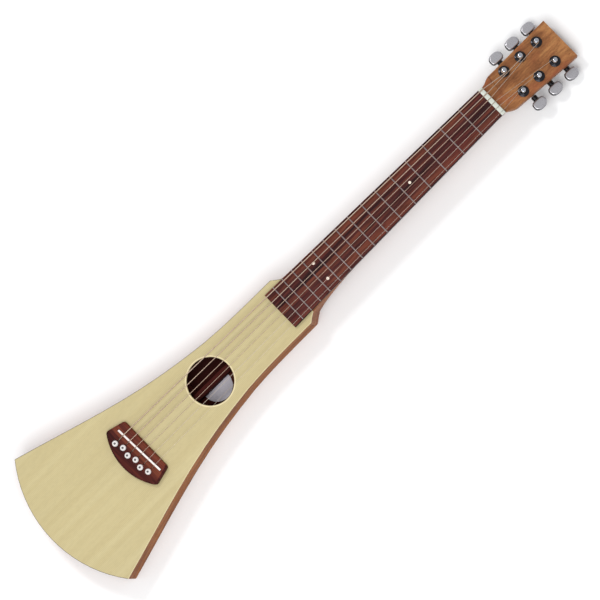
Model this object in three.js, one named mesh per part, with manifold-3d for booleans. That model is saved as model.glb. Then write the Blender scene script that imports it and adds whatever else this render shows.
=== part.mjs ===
// A travel guitar that lies on its back. Its long neck carries on as a bar through a slim sound box
// that flares towards the tail. Millimetres: +X is the treble side, +Y points to the headstock and
// +Z points up out of the soundboard. A station is a distance from the nut's front edge towards the
// tail, a level is a height above the ground, and a half is a distance from the middle plane.

import * as THREE from 'three';
import { mergeVertices } from 'three/addons/utils/BufferGeometryUtils.js';
import Module from 'manifold-3d';

const wasm = await Module();
wasm.setup();

const { lerp, degToRad } = THREE.MathUtils;
const halfTurn = Math.PI;
const fullTurn = 2 * halfTurn;
const quarterTurn = halfTurn / 2;

// Fits that many pieces share
const glueLine = 0.1;
const seatGap = 0.3;
const overrun = 2;

// Scale, frets and strings, numbered from the treble side
const scaleLength = 609.6;
const octaveFrets = 12;
const fretCount = 15;
const bodyFret = 14;
const stringGauges = [0.305, 0.406, 0.61, 0.813, 1.067, 1.346];
const nutSpread = 36.5;
const saddleSpread = 54.3;
const stringPlay = 0.2;
const ballRadius = 2;
const ballLength = 3.2;

// Sound box
const bodyDepth = 50.8;
const bodyLength = 434.7;
const shoulderWidth = 74;
const shoulderRun = 12;
const shoulderRounding = 1.2;
const shoulderShares = [
  [0, 0],
  [0.25, 0.2],
  [0.5, 0.44],
  [0.75, 0.71],
];
const tailWidth = 207.8;
const tailRadius = 170;
const tailRounding = 0.8;
const flankShares = [
  [0, 0],
  [0.129, 0.004],
  [0.206, 0.016],
  [0.284, 0.04],
  [0.387, 0.112],
  [0.49, 0.208],
  [0.594, 0.337],
  [0.697, 0.492],
  [0.8, 0.663],
  [0.903, 0.84],
  [1, 1],
];
const topThickness = 3;
const backThickness = 3;
const sideThickness = 3;
const liningWidth = 5;
const liningHeight = 8;
const holeSetback = 153.4;
const holeRadius = 30.25;
const braceWidth = 6;
const braceHeight = 8;
const braceFoot = 1.5;
const braceTip = 3;
const braceTaper = 18;
const holeBraceGap = 9;
const rearBraceShare = 0.32;
const backBraceShares = [0.22, 0.42, 0.75];
const tailBlockWidth = 60;
const tailBlockThickness = 12;
const sideOverlap = 3;

// Neck
const neckDepth = 14;
const neckDepthAtHeel = 17;
const heelLength = 76;
const heelHollow = 2.7;
const heelFlare = 1.2;
const heelFlareHollow = 4;
const shaftSquareness = 2.3;
const nutSquareness = 3.3;
const heelSquareness = 22;
const headSquareness = 22;
const heelShares = [0, 0.2, 0.4, 0.55, 0.7, 0.8, 0.88, 0.95, 1];
const blockLength = 48;
const barWidth = 9;
const barTop = 32;
const barBottom = 14;

// Headstock, measured in its own plane from the nut's back face
const headTilt = degToRad(12);
const headLength = 113.7;
const headThickness = 14.5;
const headFlareLength = 15.7;
const headFlareShares = [1, 0.8, 0.6, 0.45, 0.3];
const headFlareWidth = 53.2;
const headEndWidth = 61;

// Fingerboard, frets and nut
const nutWidth = 42.9;
const nutThickness = 5.8;
const nutClearance = 0.5;
const nutLip = 0.6;
const nutSlope = 1.4;
const boardEndWidth = 55.5;
const boardThickness = 6;
const boardBeyondFret = 14.3;
const boardRadius = 406;
const fretWidth = 2.1;
const fretHeight = 1;
const tangWidth = 0.6;
const tangDepth = 1.8;
const fretInset = 0.2;

// Bridge, saddle and pins
const saddleCompensation = 4.6;
const saddleSkew = 3.6;
const saddleLength = 72.8;
const saddleThickness = 2.4;
const saddleHeight = 11.2;
const saddleDepth = 4;
const bridgeHeight = 8.2;
const bridgeFrontWidth = 79.2;
const bridgeWidth = 92.8;
const bridgeFront = 11.4;
const bridgeShoulder = 26.2;
const bridgeTailRadius = 77;
const bridgeBevel = 2.6;
const bridgeRounding = 3;
const plateThickness = 2.5;
const plateWidth = 96;
const plateLength = 34;
const pinSetback = 11.8;
const pinStagger = 3;
const pinRadius = 2.7;
const pinTipRadius = 2;
const pinLength = 20;
const pinHeadOverhang = 1.2;
const pinHeadHeight = 4.2;
const pinHeadShares = [
  [0.86, 0],
  [1, 0.3],
  [0.74, 0.8],
  [0, 1],
];
const rampLead = 0.8;
const rampDip = 1.7;

// Machine heads, measured from the post's axis and up from the headstock's face
const postStart = 33.7;
const postPitch = 27.3;
const firstPostSpread = 34.6;
const lastPostSpread = 33.4;
const postRadius = 3;
const postWaist = 2.2;
const postTop = 11;
const waistBottom = 3.6;
const waistTop = 9;
const postDome = 0.8;
const stringHoleRadius = 0.9;
const stringHoleLevel = 8;
const wrapPlay = 0.25;
const wrapTurns = 1.6;
const wrapPitchPlay = 0.15;
const leaveLevels = [4.5, 5.4, 5.4];
const runningPlay = 0.4;
const bushingRadius = 4;
const bushingDepth = 10;
const washerRadius = 7.2;
const washerThickness = 0.8;
const hexAcross = 11;
const hexHeight = 1.9;
const gearModule = 0.75;
const wheelTeeth = 14;
const wheelThickness = 3.5;
const wormRadius = 2.25;
const wormTurns = 2.5;
const toothReach = 0.55;
const toothDepth = 0.8;
const toothPlay = 0.36;
const tipNarrowing = 0.33;
const rootWidening = 0.32;
const wormDrop = 5.4;
const housingDepth = 10;
const housingWall = 1.2;
const housingRounding = 3;
const gearRoom = 0.5;
const collarRadius = 2.9;
const collarEnd = 14.2;
const stemRadius = 2.6;
const buttonSpread = 79.7;
const buttonWidth = 13.6;
const buttonLength = 19;
const buttonThickness = 8;
const buttonRounding = 2;
const lugLength = 5;
const lugRadius = 3.2;
const lugThickness = 1.6;
const lugHoleRadius = 1.2;

// Places that follow from the sizes
const fretStation = (fret) => scaleLength * (1 - 2 ** (-fret / octaveFrets));
const neckJoint = fretStation(bodyFret);
const boardLength = fretStation(fretCount) + boardBeyondFret;
const shoulderStation = neckJoint + shoulderRun;
const tailStation = neckJoint + bodyLength;
const tailSweep = Math.asin(tailWidth / 2 / tailRadius);
const tailCorner = tailStation - tailRadius * (1 - Math.cos(tailSweep));
const sideStart = shoulderStation + sideOverlap;
const blockEnd = neckJoint + blockLength;
const headReach = nutThickness + headLength * Math.cos(headTilt);
const middleStation = (tailStation - headReach) / 2;
const yAt = (station) => middleStation - station;

const topLevel = bodyDepth;
const cavityTop = topLevel - topThickness;
const boardTop = topLevel + glueLine + boardThickness;
const fretTop = boardTop + fretHeight;
const bridgeTop = topLevel + glueLine + bridgeHeight;
const saddleTop = topLevel + glueLine + saddleHeight;
const plateTop = cavityTop - glueLine;
const plateBottom = plateTop - plateThickness;
const slotFloor = bridgeTop - saddleDepth;
const pinHeadRadius = pinRadius + pinHeadOverhang;
const ballLevel = plateBottom - seatGap - ballRadius;
const saddleMiddle = scaleLength + saddleCompensation;
const plateMiddle = saddleMiddle + pinSetback + pinStagger / 2;
const plateEnd = plateMiddle + plateLength / 2;

const boardHalf = (station) => lerp(nutWidth, boardEndWidth, station / boardLength) / 2;
const heelShare = (station) => Math.max(0, 1 - (neckJoint - station) / heelLength);
const neckHalf = (station) =>
  boardHalf(Math.max(0, station)) + heelFlare * heelShare(station) ** heelFlareHollow;
const crown = (half) => half ** 2 / (2 * boardRadius);
const saddleStation = (half) => saddleMiddle - (saddleSkew * half) / saddleLength;
const holeStation = neckJoint + holeSetback;
const holeBraceSetback = holeRadius + holeBraceGap + braceWidth / 2;
const topBraceStations = [
  holeStation - holeBraceSetback,
  holeStation + holeBraceSetback,
  lerp(plateEnd, tailCorner, rearBraceShare),
];
const backBraceStations = backBraceShares.map((share) => lerp(neckJoint, tailStation, share));
const stringCount = stringGauges.length;
const stringHalf = (spread, index) => spread * (1 / 2 - index / (stringCount - 1));
const pinStation = (index) =>
  saddleStation(stringHalf(saddleSpread, index)) + pinSetback + pinStagger * (index % 2);
const dropStation = (index) => pinStation(index) - pinRadius - stringPlay - stringGauges[index] / 2;

// Finishes
const finish = (color, roughness, metalness) => ({ color, roughness, metalness });
const spruce = finish(0xd8cd96, 0.55, 0);
const mahogany = finish(0xa5643f, 0.5, 0);
const darkBoard = finish(0x4a2620, 0.45, 0);
const bone = finish(0xf2efe4, 0.35, 0);
const maple = finish(0xc9a878, 0.6, 0);
const nickelSilver = finish(0xcfccc2, 0.25, 1);
const chrome = finish(0xd4d4d6, 0.12, 1);
const satinChrome = finish(0xb4b3b0, 0.28, 1);
const steelWire = finish(0xc4c4c4, 0.3, 1);
const bronzeWire = finish(0xb98a5c, 0.35, 1);
const whitePlastic = finish(0xf4f3ee, 0.3, 0);

const guitar = new THREE.Group();

function addPiece(name, shape, look, parent = guitar) {
  const geometry = shape.isBufferGeometry ? shape : geometryOf(shape);
  const mesh = new THREE.Mesh(geometry, new THREE.MeshStandardMaterial(look));
  mesh.name = name;
  parent.add(mesh);
  return mesh;
}

// Turns a closed three.js geometry into a solid that can be joined and cut
function solid(geometry) {
  const bare = new THREE.BufferGeometry();
  bare.setAttribute('position', geometry.getAttribute('position'));
  bare.setIndex(geometry.getIndex());
  const merged = mergeVertices(bare);
  const made = new wasm.Mesh({
    numProp: 3,
    vertProperties: new Float32Array(merged.getAttribute('position').array),
    triVerts: new Uint32Array(merged.getIndex().array),
  });
  return new wasm.Manifold(made);
}

function geometryOf(shape) {
  const mesh = shape.getMesh();
  const geometry = new THREE.BufferGeometry();
  geometry.setAttribute('position', new THREE.BufferAttribute(mesh.vertProperties, mesh.numProp));
  geometry.setIndex(new THREE.BufferAttribute(mesh.triVerts, 1));
  const facets = geometry.toNonIndexed();
  facets.computeVertexNormals();
  return facets;
}

const flipFace = ([a, b, c]) => [a, c, b];

// A closed skin over a row of rings with the same number of points. The cap outline is each end
// ring seen flat, and the faces are turned outwards.
function loft(rings, capOutline) {
  const count = rings[0].length;
  const positions = rings.flat().flatMap((point) => point.toArray());
  const faces = [];
  for (let ring = 0; ring < rings.length - 1; ring++) {
    for (let i = 0; i < count; i++) {
      const a = ring * count + i;
      const b = ring * count + ((i + 1) % count);
      faces.push([a, b, b + count], [a, b + count, a + count]);
    }
  }
  const last = (rings.length - 1) * count;
  const clockwise = THREE.ShapeUtils.isClockWise(capOutline);
  for (const face of THREE.ShapeUtils.triangulateShape(capOutline, [])) {
    const near = clockwise ? face : flipFace(face);
    faces.push(near, flipFace(near).map((index) => last + index));
  }
  const corner = (index) => new THREE.Vector3().fromArray(positions, index * 3);
  let volume = 0;
  for (const face of faces) {
    const [a, b, c] = face.map(corner);
    volume += a.dot(b.cross(c));
  }
  const outward = volume > 0 ? faces : faces.map(flipFace);
  const geometry = new THREE.BufferGeometry();
  geometry.setAttribute('position', new THREE.Float32BufferAttribute(positions, 3));
  geometry.setIndex(outward.flat());
  return geometry;
}

// Plan outlines are lists of half and station, and rise between two levels
function prism(outline, bottom, top) {
  const shape = new THREE.Shape(outline.map((point) => new THREE.Vector2(point.x, yAt(point.y))));
  const geometry = new THREE.ExtrudeGeometry(shape, { depth: top - bottom, bevelEnabled: false });
  return solid(geometry.translate(0, 0, bottom));
}

// Side outlines are lists of station and level, and run across between two halves
function crossPrism(outline, middleHalf, width) {
  const shape = new THREE.Shape(outline.map((point) => new THREE.Vector2(yAt(point.x), point.y)));
  const geometry = new THREE.ExtrudeGeometry(shape, { depth: width, bevelEnabled: false });
  const turn = new THREE.Matrix4().makeBasis(
    new THREE.Vector3(0, 1, 0),
    new THREE.Vector3(0, 0, 1),
    new THREE.Vector3(1, 0, 0),
  );
  return solid(geometry.applyMatrix4(turn).translate(middleHalf - width / 2, 0, 0));
}

function slab(left, right, from, to, bottom, top) {
  const geometry = new THREE.BoxGeometry(right - left, to - from, top - bottom);
  const middle = new THREE.Vector3(left + right, yAt(from) + yAt(to), bottom + top).divideScalar(2);
  return solid(geometry.translate(middle.x, middle.y, middle.z));
}

// An upright round bar, which may taper
function standingRod(topRadius, bottomRadius, half, station, bottom, top, sides) {
  const geometry = new THREE.CylinderGeometry(topRadius, bottomRadius, top - bottom, sides);
  return solid(geometry.rotateX(quarterTurn).translate(half, yAt(station), (bottom + top) / 2));
}

// A turned piece whose axis points up, from pairs of radius and level
function turned(profile, sides) {
  const points = profile.map(([radius, level]) => new THREE.Vector2(radius, level));
  return new THREE.LatheGeometry(points, sides).rotateX(quarterTurn);
}

// Moves an outline inwards by the same distance everywhere
function insetOutline(points, distance) {
  const inward = (from, to) => {
    const along = to.clone().sub(from).normalize();
    return new THREE.Vector2(-along.y, along.x);
  };
  return points.map((point, i) => {
    const first = inward(points.at(i - 1), point);
    const second = inward(point, points[(i + 1) % points.length]);
    const reach = distance / (1 + first.dot(second));
    return point.clone().add(first.add(second).multiplyScalar(reach));
  });
}

// Replaces one corner of an outline by a short curve
function easeCorner(points, index, radius, steps) {
  const corner = points[index];
  const towards = (other) => corner.clone().lerp(other, radius / corner.distanceTo(other));
  const curve = new THREE.QuadraticBezierCurve(
    towards(points[index - 1]),
    corner,
    towards(points[(index + 1) % points.length]),
  );
  points.splice(index, 1, ...curve.getPoints(steps));
}

// Sound box outline, from the shoulder corner to the middle of the tail
const flankSteps = 13;
const tailSteps = 9;
const cornerSteps = 3;

function flankPoints() {
  const curve = new THREE.SplineCurve(
    flankShares.map(
      ([run, spread]) =>
        new THREE.Vector2(
          lerp(shoulderWidth, tailWidth, spread) / 2,
          lerp(shoulderStation, tailCorner, run),
        ),
    ),
  );
  return curve.getPoints(flankSteps);
}

function tailPoints() {
  return Array.from({ length: tailSteps }, (_, i) => {
    const turn = tailSweep * (1 - (i + 1) / tailSteps);
    return new THREE.Vector2(
      tailRadius * Math.sin(turn),
      tailStation - tailRadius * (1 - Math.cos(turn)),
    );
  });
}

function mirrored(side) {
  const other = side.slice(0, -1).map((point) => new THREE.Vector2(-point.x, point.y));
  return [...side, ...other.reverse()];
}

// The plain outline runs straight forward from the shoulder, for the sides and what fits in them
function sideOutline(rounding) {
  const side = [
    new THREE.Vector2(shoulderWidth / 2, neckJoint),
    ...flankPoints(),
    ...tailPoints(),
  ];
  if (rounding) easeCorner(side, 1 + flankSteps, rounding, cornerSteps);
  return mirrored(side);
}

// The plates' outline leaves the neck in a slightly hollow slant on each side
function plateOutline() {
  const slant = shoulderShares.map(
    ([run, spread]) =>
      new THREE.Vector2(
        lerp(neckHalf(neckJoint), shoulderWidth / 2, spread),
        lerp(neckJoint, shoulderStation, run),
      ),
  );
  const side = [...slant, ...flankPoints(), ...tailPoints()];
  easeCorner(side, slant.length + flankSteps, tailRounding, cornerSteps);
  easeCorner(side, slant.length, shoulderRounding, cornerSteps);
  return mirrored(side);
}

const flankLine = flankPoints();

function bodyHalf(station) {
  const next = flankLine.findIndex((point) => point.y >= station);
  const [before, after] = [flankLine[next - 1], flankLine[next]];
  return lerp(before.x, after.x, (station - before.y) / (after.y - before.y));
}

// A cross brace with thin ends. Its foot is sunk into the plate that it is part of.
function brace(station, footLevel, upward) {
  const reach = bodyHalf(station - braceWidth) - sideThickness - liningWidth - 2 * seatGap;
  const foot = footLevel - upward * braceFoot;
  const rise = (height) => footLevel + upward * height;
  const points = [
    new THREE.Vector2(-reach, foot),
    new THREE.Vector2(-reach, rise(braceTip)),
    new THREE.Vector2(-reach + braceTaper, rise(braceHeight)),
    new THREE.Vector2(reach - braceTaper, rise(braceHeight)),
    new THREE.Vector2(reach, rise(braceTip)),
    new THREE.Vector2(reach, foot),
  ];
  const geometry = new THREE.ExtrudeGeometry(new THREE.Shape(points), {
    depth: braceWidth,
    bevelEnabled: false,
  });
  return solid(geometry.rotateX(quarterTurn).translate(0, yAt(station) + braceWidth / 2, 0));
}

// Holes for the bridge pins, and the ways that lead the strings over the bridge and down beside them
const pinHoleSides = 8;
const pinTaper = (pinRadius - pinTipRadius) / pinLength;

function pinHole(index) {
  const half = stringHalf(saddleSpread, index);
  const top = bridgeTop + overrun;
  const bottom = plateBottom - overrun;
  const play = seatGap + overrun * pinTaper;
  const radiusAt = (level) => pinRadius + play - (bridgeTop - level) * pinTaper;
  return standingRod(
    radiusAt(top),
    radiusAt(bottom),
    half,
    pinStation(index),
    bottom,
    top,
    pinHoleSides,
  );
}

function rampPoint(index) {
  return new THREE.Vector2(
    pinStation(index) - pinHeadRadius - rampLead,
    bridgeTop - rampDip,
  );
}

// The bends of a string from the saddle's top to its ball, as pairs of station and level
function saddleRoute(index) {
  const half = stringHalf(saddleSpread, index);
  const top = saddleTop - crown(half) + stringPlay + stringGauges[index] / 2;
  const ramp = rampPoint(index);
  const drop = dropStation(index);
  return [
    new THREE.Vector2(saddleStation(half) - saddleThickness / 2, top),
    new THREE.Vector2(saddleStation(half) + saddleThickness / 2, top),
    ramp,
    new THREE.Vector2(drop, ramp.y - rampDip),
    new THREE.Vector2(drop, ballLevel),
  ];
}

function stringWay(index) {
  const reach = stringGauges[index] / 2 + stringPlay;
  const [, crest, ramp, drop] = saddleRoute(index);
  const firstFall = (crest.y - ramp.y) / (ramp.x - crest.x);
  const secondFall = (ramp.y - drop.y) / (drop.x - ramp.x);
  const under = reach * Math.hypot(1, secondFall);
  const wall = drop.x - reach;
  const mouth = ramp.x - (bridgeTop - ramp.y + under) / firstFall;
  const outline = [
    new THREE.Vector2(pinStation(index), bridgeTop + overrun),
    new THREE.Vector2(mouth - overrun / firstFall, bridgeTop + overrun),
    new THREE.Vector2(ramp.x, ramp.y - under),
    new THREE.Vector2(wall, ramp.y - under - secondFall * Math.max(0, wall - ramp.x)),
    new THREE.Vector2(wall, plateBottom - overrun),
    new THREE.Vector2(pinStation(index), plateBottom - overrun),
  ];
  return crossPrism(outline, stringHalf(saddleSpread, index), 2 * reach);
}

const pinCuts = stringGauges
  .map((_, index) => pinHole(index).add(stringWay(index)))
  .reduce((cuts, cut) => cuts.add(cut));

// Sound box: soundboard, back and sides
function makeSoundboard() {
  let board = prism(plateOutline(), cavityTop, topLevel);
  for (const station of topBraceStations) board = board.add(brace(station, cavityTop, -1));
  const holeSides = 36;
  const hole = standingRod(
    holeRadius,
    holeRadius,
    0,
    holeStation,
    cavityTop - overrun,
    topLevel + overrun,
    holeSides,
  );
  return board.subtract(hole).subtract(pinCuts);
}

function makeBack() {
  let board = prism(plateOutline(), 0, backThickness);
  for (const station of backBraceStations) board = board.add(brace(station, backThickness, 1));
  return board;
}

function makeSides() {
  const bottom = backThickness + glueLine;
  const top = cavityTop - glueLine;
  const plain = sideOutline(0);
  const overLinings = insetOutline(plain, sideThickness + liningWidth);
  const overSides = insetOutline(plain, sideThickness);
  const blockRoom = slab(
    -shoulderWidth,
    shoulderWidth,
    neckJoint - overrun,
    blockEnd + seatGap,
    bottom - overrun,
    top + overrun,
  );
  const tailBlock = slab(
    -tailBlockWidth / 2,
    tailBlockWidth / 2,
    tailStation - sideThickness - tailBlockThickness,
    tailStation,
    bottom - overrun,
    top + overrun,
  );
  const room = prism(overLinings, bottom - overrun, top + overrun)
    .add(prism(overSides, bottom + liningHeight, top - liningHeight))
    .add(prism(overSides, bottom - overrun, top + overrun).intersect(blockRoom))
    .subtract(tailBlock);
  const ahead = slab(
    -shoulderWidth,
    shoulderWidth,
    neckJoint - overrun,
    sideStart,
    bottom - overrun,
    top + overrun,
  );
  return prism(sideOutline(tailRounding), bottom, top).subtract(room).subtract(ahead);
}

addPiece('soundboard', makeSoundboard(), spruce);
addPiece('back', makeBack(), mahogany);
addPiece('sides', makeSides(), mahogany);

// Frame of the headstock: its face tilts back from the nut's back face
const headFrame = new THREE.Group();
headFrame.position.set(0, yAt(-nutThickness), topLevel);
headFrame.rotation.x = -headTilt;
headFrame.updateMatrix();
guitar.add(headFrame);
const intoHead = headFrame.matrix.clone().invert();

// Places of the machine heads. The bass side carries strings 6, 5 and 4 from the nut up, and the
// treble side strings 1, 2 and 3.
const tunersPerSide = stringCount / 2;
const tuners = stringGauges.map((gauge, index) => {
  const side = index < tunersPerSide ? 1 : -1;
  const row = side > 0 ? index : stringCount - 1 - index;
  const spread = lerp(firstPostSpread, lastPostSpread, row / (tunersPerSide - 1));
  return { index, gauge, side, row, half: (side * spread) / 2, along: postStart + row * postPitch };
});

// Neck: sections with a flat top and a rounded underside, which grow square at both ends
const neckPoints = 12;
const postSides = 10;

function neckRing({ station, level, tilt, half, depth, squareness }) {
  return Array.from({ length: neckPoints + 1 }, (_, i) => {
    const turn = (halfTurn * i) / neckPoints;
    const across = Math.sign(Math.cos(turn)) * Math.abs(Math.cos(turn)) ** (2 / squareness);
    const drop = depth * Math.abs(Math.sin(turn)) ** (2 / squareness);
    return new THREE.Vector3(
      i === neckPoints / 2 ? 0 : half * across,
      yAt(station) - drop * Math.sin(tilt),
      level - drop * Math.cos(tilt),
    );
  });
}

function headHalf(along) {
  if (along >= headFlareLength) {
    const share = (along - headFlareLength) / (headLength - headFlareLength);
    return lerp(headFlareWidth, headEndWidth, share) / 2;
  }
  return lerp(nutWidth, headFlareWidth, THREE.MathUtils.smoothstep(along, 0, headFlareLength)) / 2;
}

function headRing(along, squareness) {
  return neckRing({
    station: -nutThickness - along * Math.cos(headTilt),
    level: topLevel - along * Math.sin(headTilt),
    tilt: headTilt,
    half: headHalf(along),
    depth: headThickness,
    squareness,
  });
}

function shaftRing(station, squareness, tilt = 0) {
  const plain = lerp(neckDepth, neckDepthAtHeel, Math.min(1, station / (neckJoint - heelLength)));
  return neckRing({
    station,
    level: topLevel,
    tilt,
    half: neckHalf(station),
    depth: lerp(plain, bodyDepth, heelShare(station) ** heelHollow),
    squareness,
  });
}

function makeNeck() {
  const rings = [headRing(headLength, headSquareness)];
  for (const share of headFlareShares) {
    rings.push(headRing(share * headFlareLength, headSquareness * share));
  }
  rings.push(shaftRing(-nutThickness, nutSquareness, headTilt / 2));
  rings.push(shaftRing(nutThickness, shaftSquareness));
  for (const share of heelShares) {
    const squareness = lerp(shaftSquareness, heelSquareness, share ** 2);
    rings.push(shaftRing(neckJoint - (1 - share) * heelLength, squareness));
  }
  const capOutline = Array.from({ length: neckPoints + 1 }, (_, i) => {
    const turn = (halfTurn * i) / neckPoints;
    return new THREE.Vector2(Math.cos(turn), -Math.sin(turn));
  });
  const shaft = solid(loft(rings, capOutline));

  // The block behind the heel fills the front of the sound box, and the bar runs on to the tail
  const bottom = backThickness + glueLine;
  const top = cavityTop - glueLine;
  const wide = shoulderWidth;
  const betweenPlates = prism(plateOutline(), bottom, top);
  const shoulders = betweenPlates.intersect(
    slab(-wide, wide, neckJoint - overrun, sideStart - seatGap, bottom - overrun, top + overrun),
  );
  const betweenSides = prism(insetOutline(sideOutline(0), sideThickness + seatGap), bottom, top);
  const inner = betweenSides
    .intersect(betweenPlates)
    .intersect(slab(-wide, wide, neckJoint, blockEnd, bottom - overrun, top + overrun));
  const heelPlug = slab(
    -boardHalf(neckJoint) / 2,
    boardHalf(neckJoint) / 2,
    neckJoint - overrun,
    blockEnd,
    bottom + overrun,
    top,
  );
  const barEnd = tailStation - sideThickness - tailBlockThickness - seatGap;
  const bar = slab(-barWidth / 2, barWidth / 2, blockEnd - overrun, barEnd, barBottom, barTop);
  let neck = shaft.add(shoulders).add(inner).add(heelPlug).add(bar);
  for (const tuner of tuners) {
    const radius = bushingRadius + seatGap;
    const geometry = new THREE.CylinderGeometry(radius, radius, 2 * headLength, postSides);
    geometry.rotateX(quarterTurn).translate(tuner.half, tuner.along, 0);
    neck = neck.subtract(solid(geometry.applyMatrix4(headFrame.matrix)));
  }
  return neck;
}

addPiece('neck', makeNeck(), mahogany);

// Fingerboard with a slot for each fret, and the frets
const crownSteps = 3;
const crownShares = Array.from({ length: crownSteps + 1 }, (_, i) => (2 * i) / crownSteps - 1);

function makeFingerboard() {
  const bottom = topLevel + glueLine;
  const ring = (station) => {
    const half = boardHalf(station);
    const top = crownShares.map(
      (share) => new THREE.Vector3(share * half, yAt(station), boardTop - crown(share * half)),
    );
    return [
      new THREE.Vector3(half, yAt(station), bottom),
      new THREE.Vector3(-half, yAt(station), bottom),
      ...top,
    ];
  };
  const front = ring(glueLine);
  const capOutline = front.map((point) => new THREE.Vector2(point.x, point.z));
  let board = solid(loft([front, ring(boardLength)], capOutline));
  const slotHalf = tangWidth / 2 + seatGap / 2;
  for (let fret = 1; fret <= fretCount; fret++) {
    const station = fretStation(fret);
    const floor = boardTop - crown(boardHalf(station)) - tangDepth - seatGap;
    board = board.subtract(
      slab(-nutWidth, nutWidth, station - slotHalf, station + slotHalf, floor, boardTop + overrun),
    );
  }
  return board;
}

function makeFret(station) {
  const roundSteps = 3;
  const profile = Array.from({ length: roundSteps + 1 }, (_, i) => {
    const turn = (halfTurn * i) / roundSteps;
    return new THREE.Vector2(
      (fretWidth / 2) * Math.cos(turn),
      glueLine + (fretHeight - glueLine) * Math.sin(turn),
    );
  });
  profile.push(
    new THREE.Vector2(-tangWidth / 2, glueLine),
    new THREE.Vector2(-tangWidth / 2, -tangDepth),
    new THREE.Vector2(tangWidth / 2, -tangDepth),
    new THREE.Vector2(tangWidth / 2, glueLine),
  );
  const reach = boardHalf(station) - fretInset;
  const rings = crownShares.map((share) => {
    const half = share * reach;
    return profile.map(
      (point) => new THREE.Vector3(half, yAt(station) + point.x, boardTop - crown(half) + point.y),
    );
  });
  return loft(rings, profile);
}

addPiece('fingerboard', makeFingerboard(), darkBoard);
for (let fret = 1; fret <= fretCount; fret++) {
  addPiece(`fret_${String(fret).padStart(2, '0')}`, makeFret(fretStation(fret)), nickelSilver);
}

// Strings: each is wound round its post, bends at the nut and the saddle, and goes down to its ball
const nutLevel = (half, gauge) => fretTop + nutClearance + gauge / 2 - crown(half);
const wrapSteps = 8;
const stringSides = 5;

// Where the string leaves its post, in the headstock's frame. The flats of the winding clear the post.
function leavePoint({ index, gauge, side, half, along, row }) {
  const start = new THREE.Vector3(stringHalf(nutSpread, index), yAt(-nutThickness), topLevel);
  const nutPoint = start.applyMatrix4(intoHead);
  const radius = (postWaist + wrapPlay + gauge / 2) / Math.cos(halfTurn / wrapSteps);
  const reach = new THREE.Vector2(nutPoint.x - half, nutPoint.y - along);
  const turn = reach.angle() - side * Math.acos(radius / reach.length());
  return { radius, turn, level: leaveLevels[row] };
}

function wrapPoint(tuner, leave, share) {
  const turn = leave.turn - tuner.side * share * wrapTurns * fullTurn;
  return new THREE.Vector3(
    tuner.half + leave.radius * Math.cos(turn),
    tuner.along + leave.radius * Math.sin(turn),
    leave.level + share * wrapTurns * (tuner.gauge + wrapPitchPlay),
  ).applyMatrix4(headFrame.matrix);
}

// How fast the string falls from the nut's front edge towards its post
function headFall(tuner) {
  const leave = wrapPoint(tuner, leavePoint(tuner), 0);
  const level = nutLevel(stringHalf(nutSpread, tuner.index), tuner.gauge);
  return (level - leave.z) / (leave.y - yAt(0));
}

class Route extends THREE.Curve {
  constructor(points) {
    super();
    this.points = points;
  }

  getPoint(share, target = new THREE.Vector3()) {
    const place = share * (this.points.length - 1);
    const before = Math.min(Math.floor(place), this.points.length - 2);
    return target.lerpVectors(this.points[before], this.points[before + 1], place - before);
  }

  getPointAt(share, target) {
    return this.getPoint(share, target);
  }

  getTangentAt(share, target = new THREE.Vector3()) {
    const knot = Math.round(share * (this.points.length - 1));
    const here = this.points[knot];
    const before = this.points[Math.max(0, knot - 1)];
    const after = this.points[Math.min(this.points.length - 1, knot + 1)];
    const arriving = here.clone().sub(before).normalize();
    const leaving = after.clone().sub(here).normalize();
    return target.copy(arriving).add(leaving).normalize();
  }
}

function tube(points, radius, sides) {
  const section = new THREE.Shape(
    Array.from({ length: sides }, (_, i) => {
      const turn = (fullTurn * i) / sides;
      return new THREE.Vector2(radius * Math.cos(turn), radius * Math.sin(turn));
    }),
  );
  return new THREE.ExtrudeGeometry(section, {
    steps: points.length - 1,
    extrudePath: new Route(points),
  });
}

function ballCentre(index) {
  return new THREE.Vector3(
    stringHalf(saddleSpread, index),
    yAt(pinStation(index) - pinRadius - ballRadius),
    ballLevel,
  );
}

function makeString(tuner) {
  const { index, gauge } = tuner;
  const leave = leavePoint(tuner);
  const turns = Math.round(wrapTurns * wrapSteps);
  const wraps = Array.from({ length: turns + 1 }, (_, i) => wrapPoint(tuner, leave, 1 - i / turns));
  const nutHalf = stringHalf(nutSpread, index);
  const level = nutLevel(nutHalf, gauge);
  const nutBack = nutThickness + seatGap;
  const saddleHalf = stringHalf(saddleSpread, index);
  const ball = ballCentre(index);
  const route = [
    ...wraps,
    new THREE.Vector3(nutHalf, yAt(-nutBack), level - headFall(tuner) * nutBack),
    new THREE.Vector3(nutHalf, yAt(0), level),
    ...saddleRoute(index).map((bend) => new THREE.Vector3(saddleHalf, yAt(bend.x), bend.y)),
  ];
  const ballSides = 6;
  const ballEnd = new THREE.CylinderGeometry(ballRadius, ballRadius, ballLength, ballSides);
  ballEnd.rotateZ(quarterTurn).translate(ball.x, ball.y, ball.z);
  return solid(tube(route, gauge / 2, stringSides)).add(solid(ballEnd));
}

for (const tuner of tuners) {
  const wound = tuner.index > 1;
  addPiece(`string_${tuner.index + 1}`, makeString(tuner), wound ? bronzeWire : steelWire);
}

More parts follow.
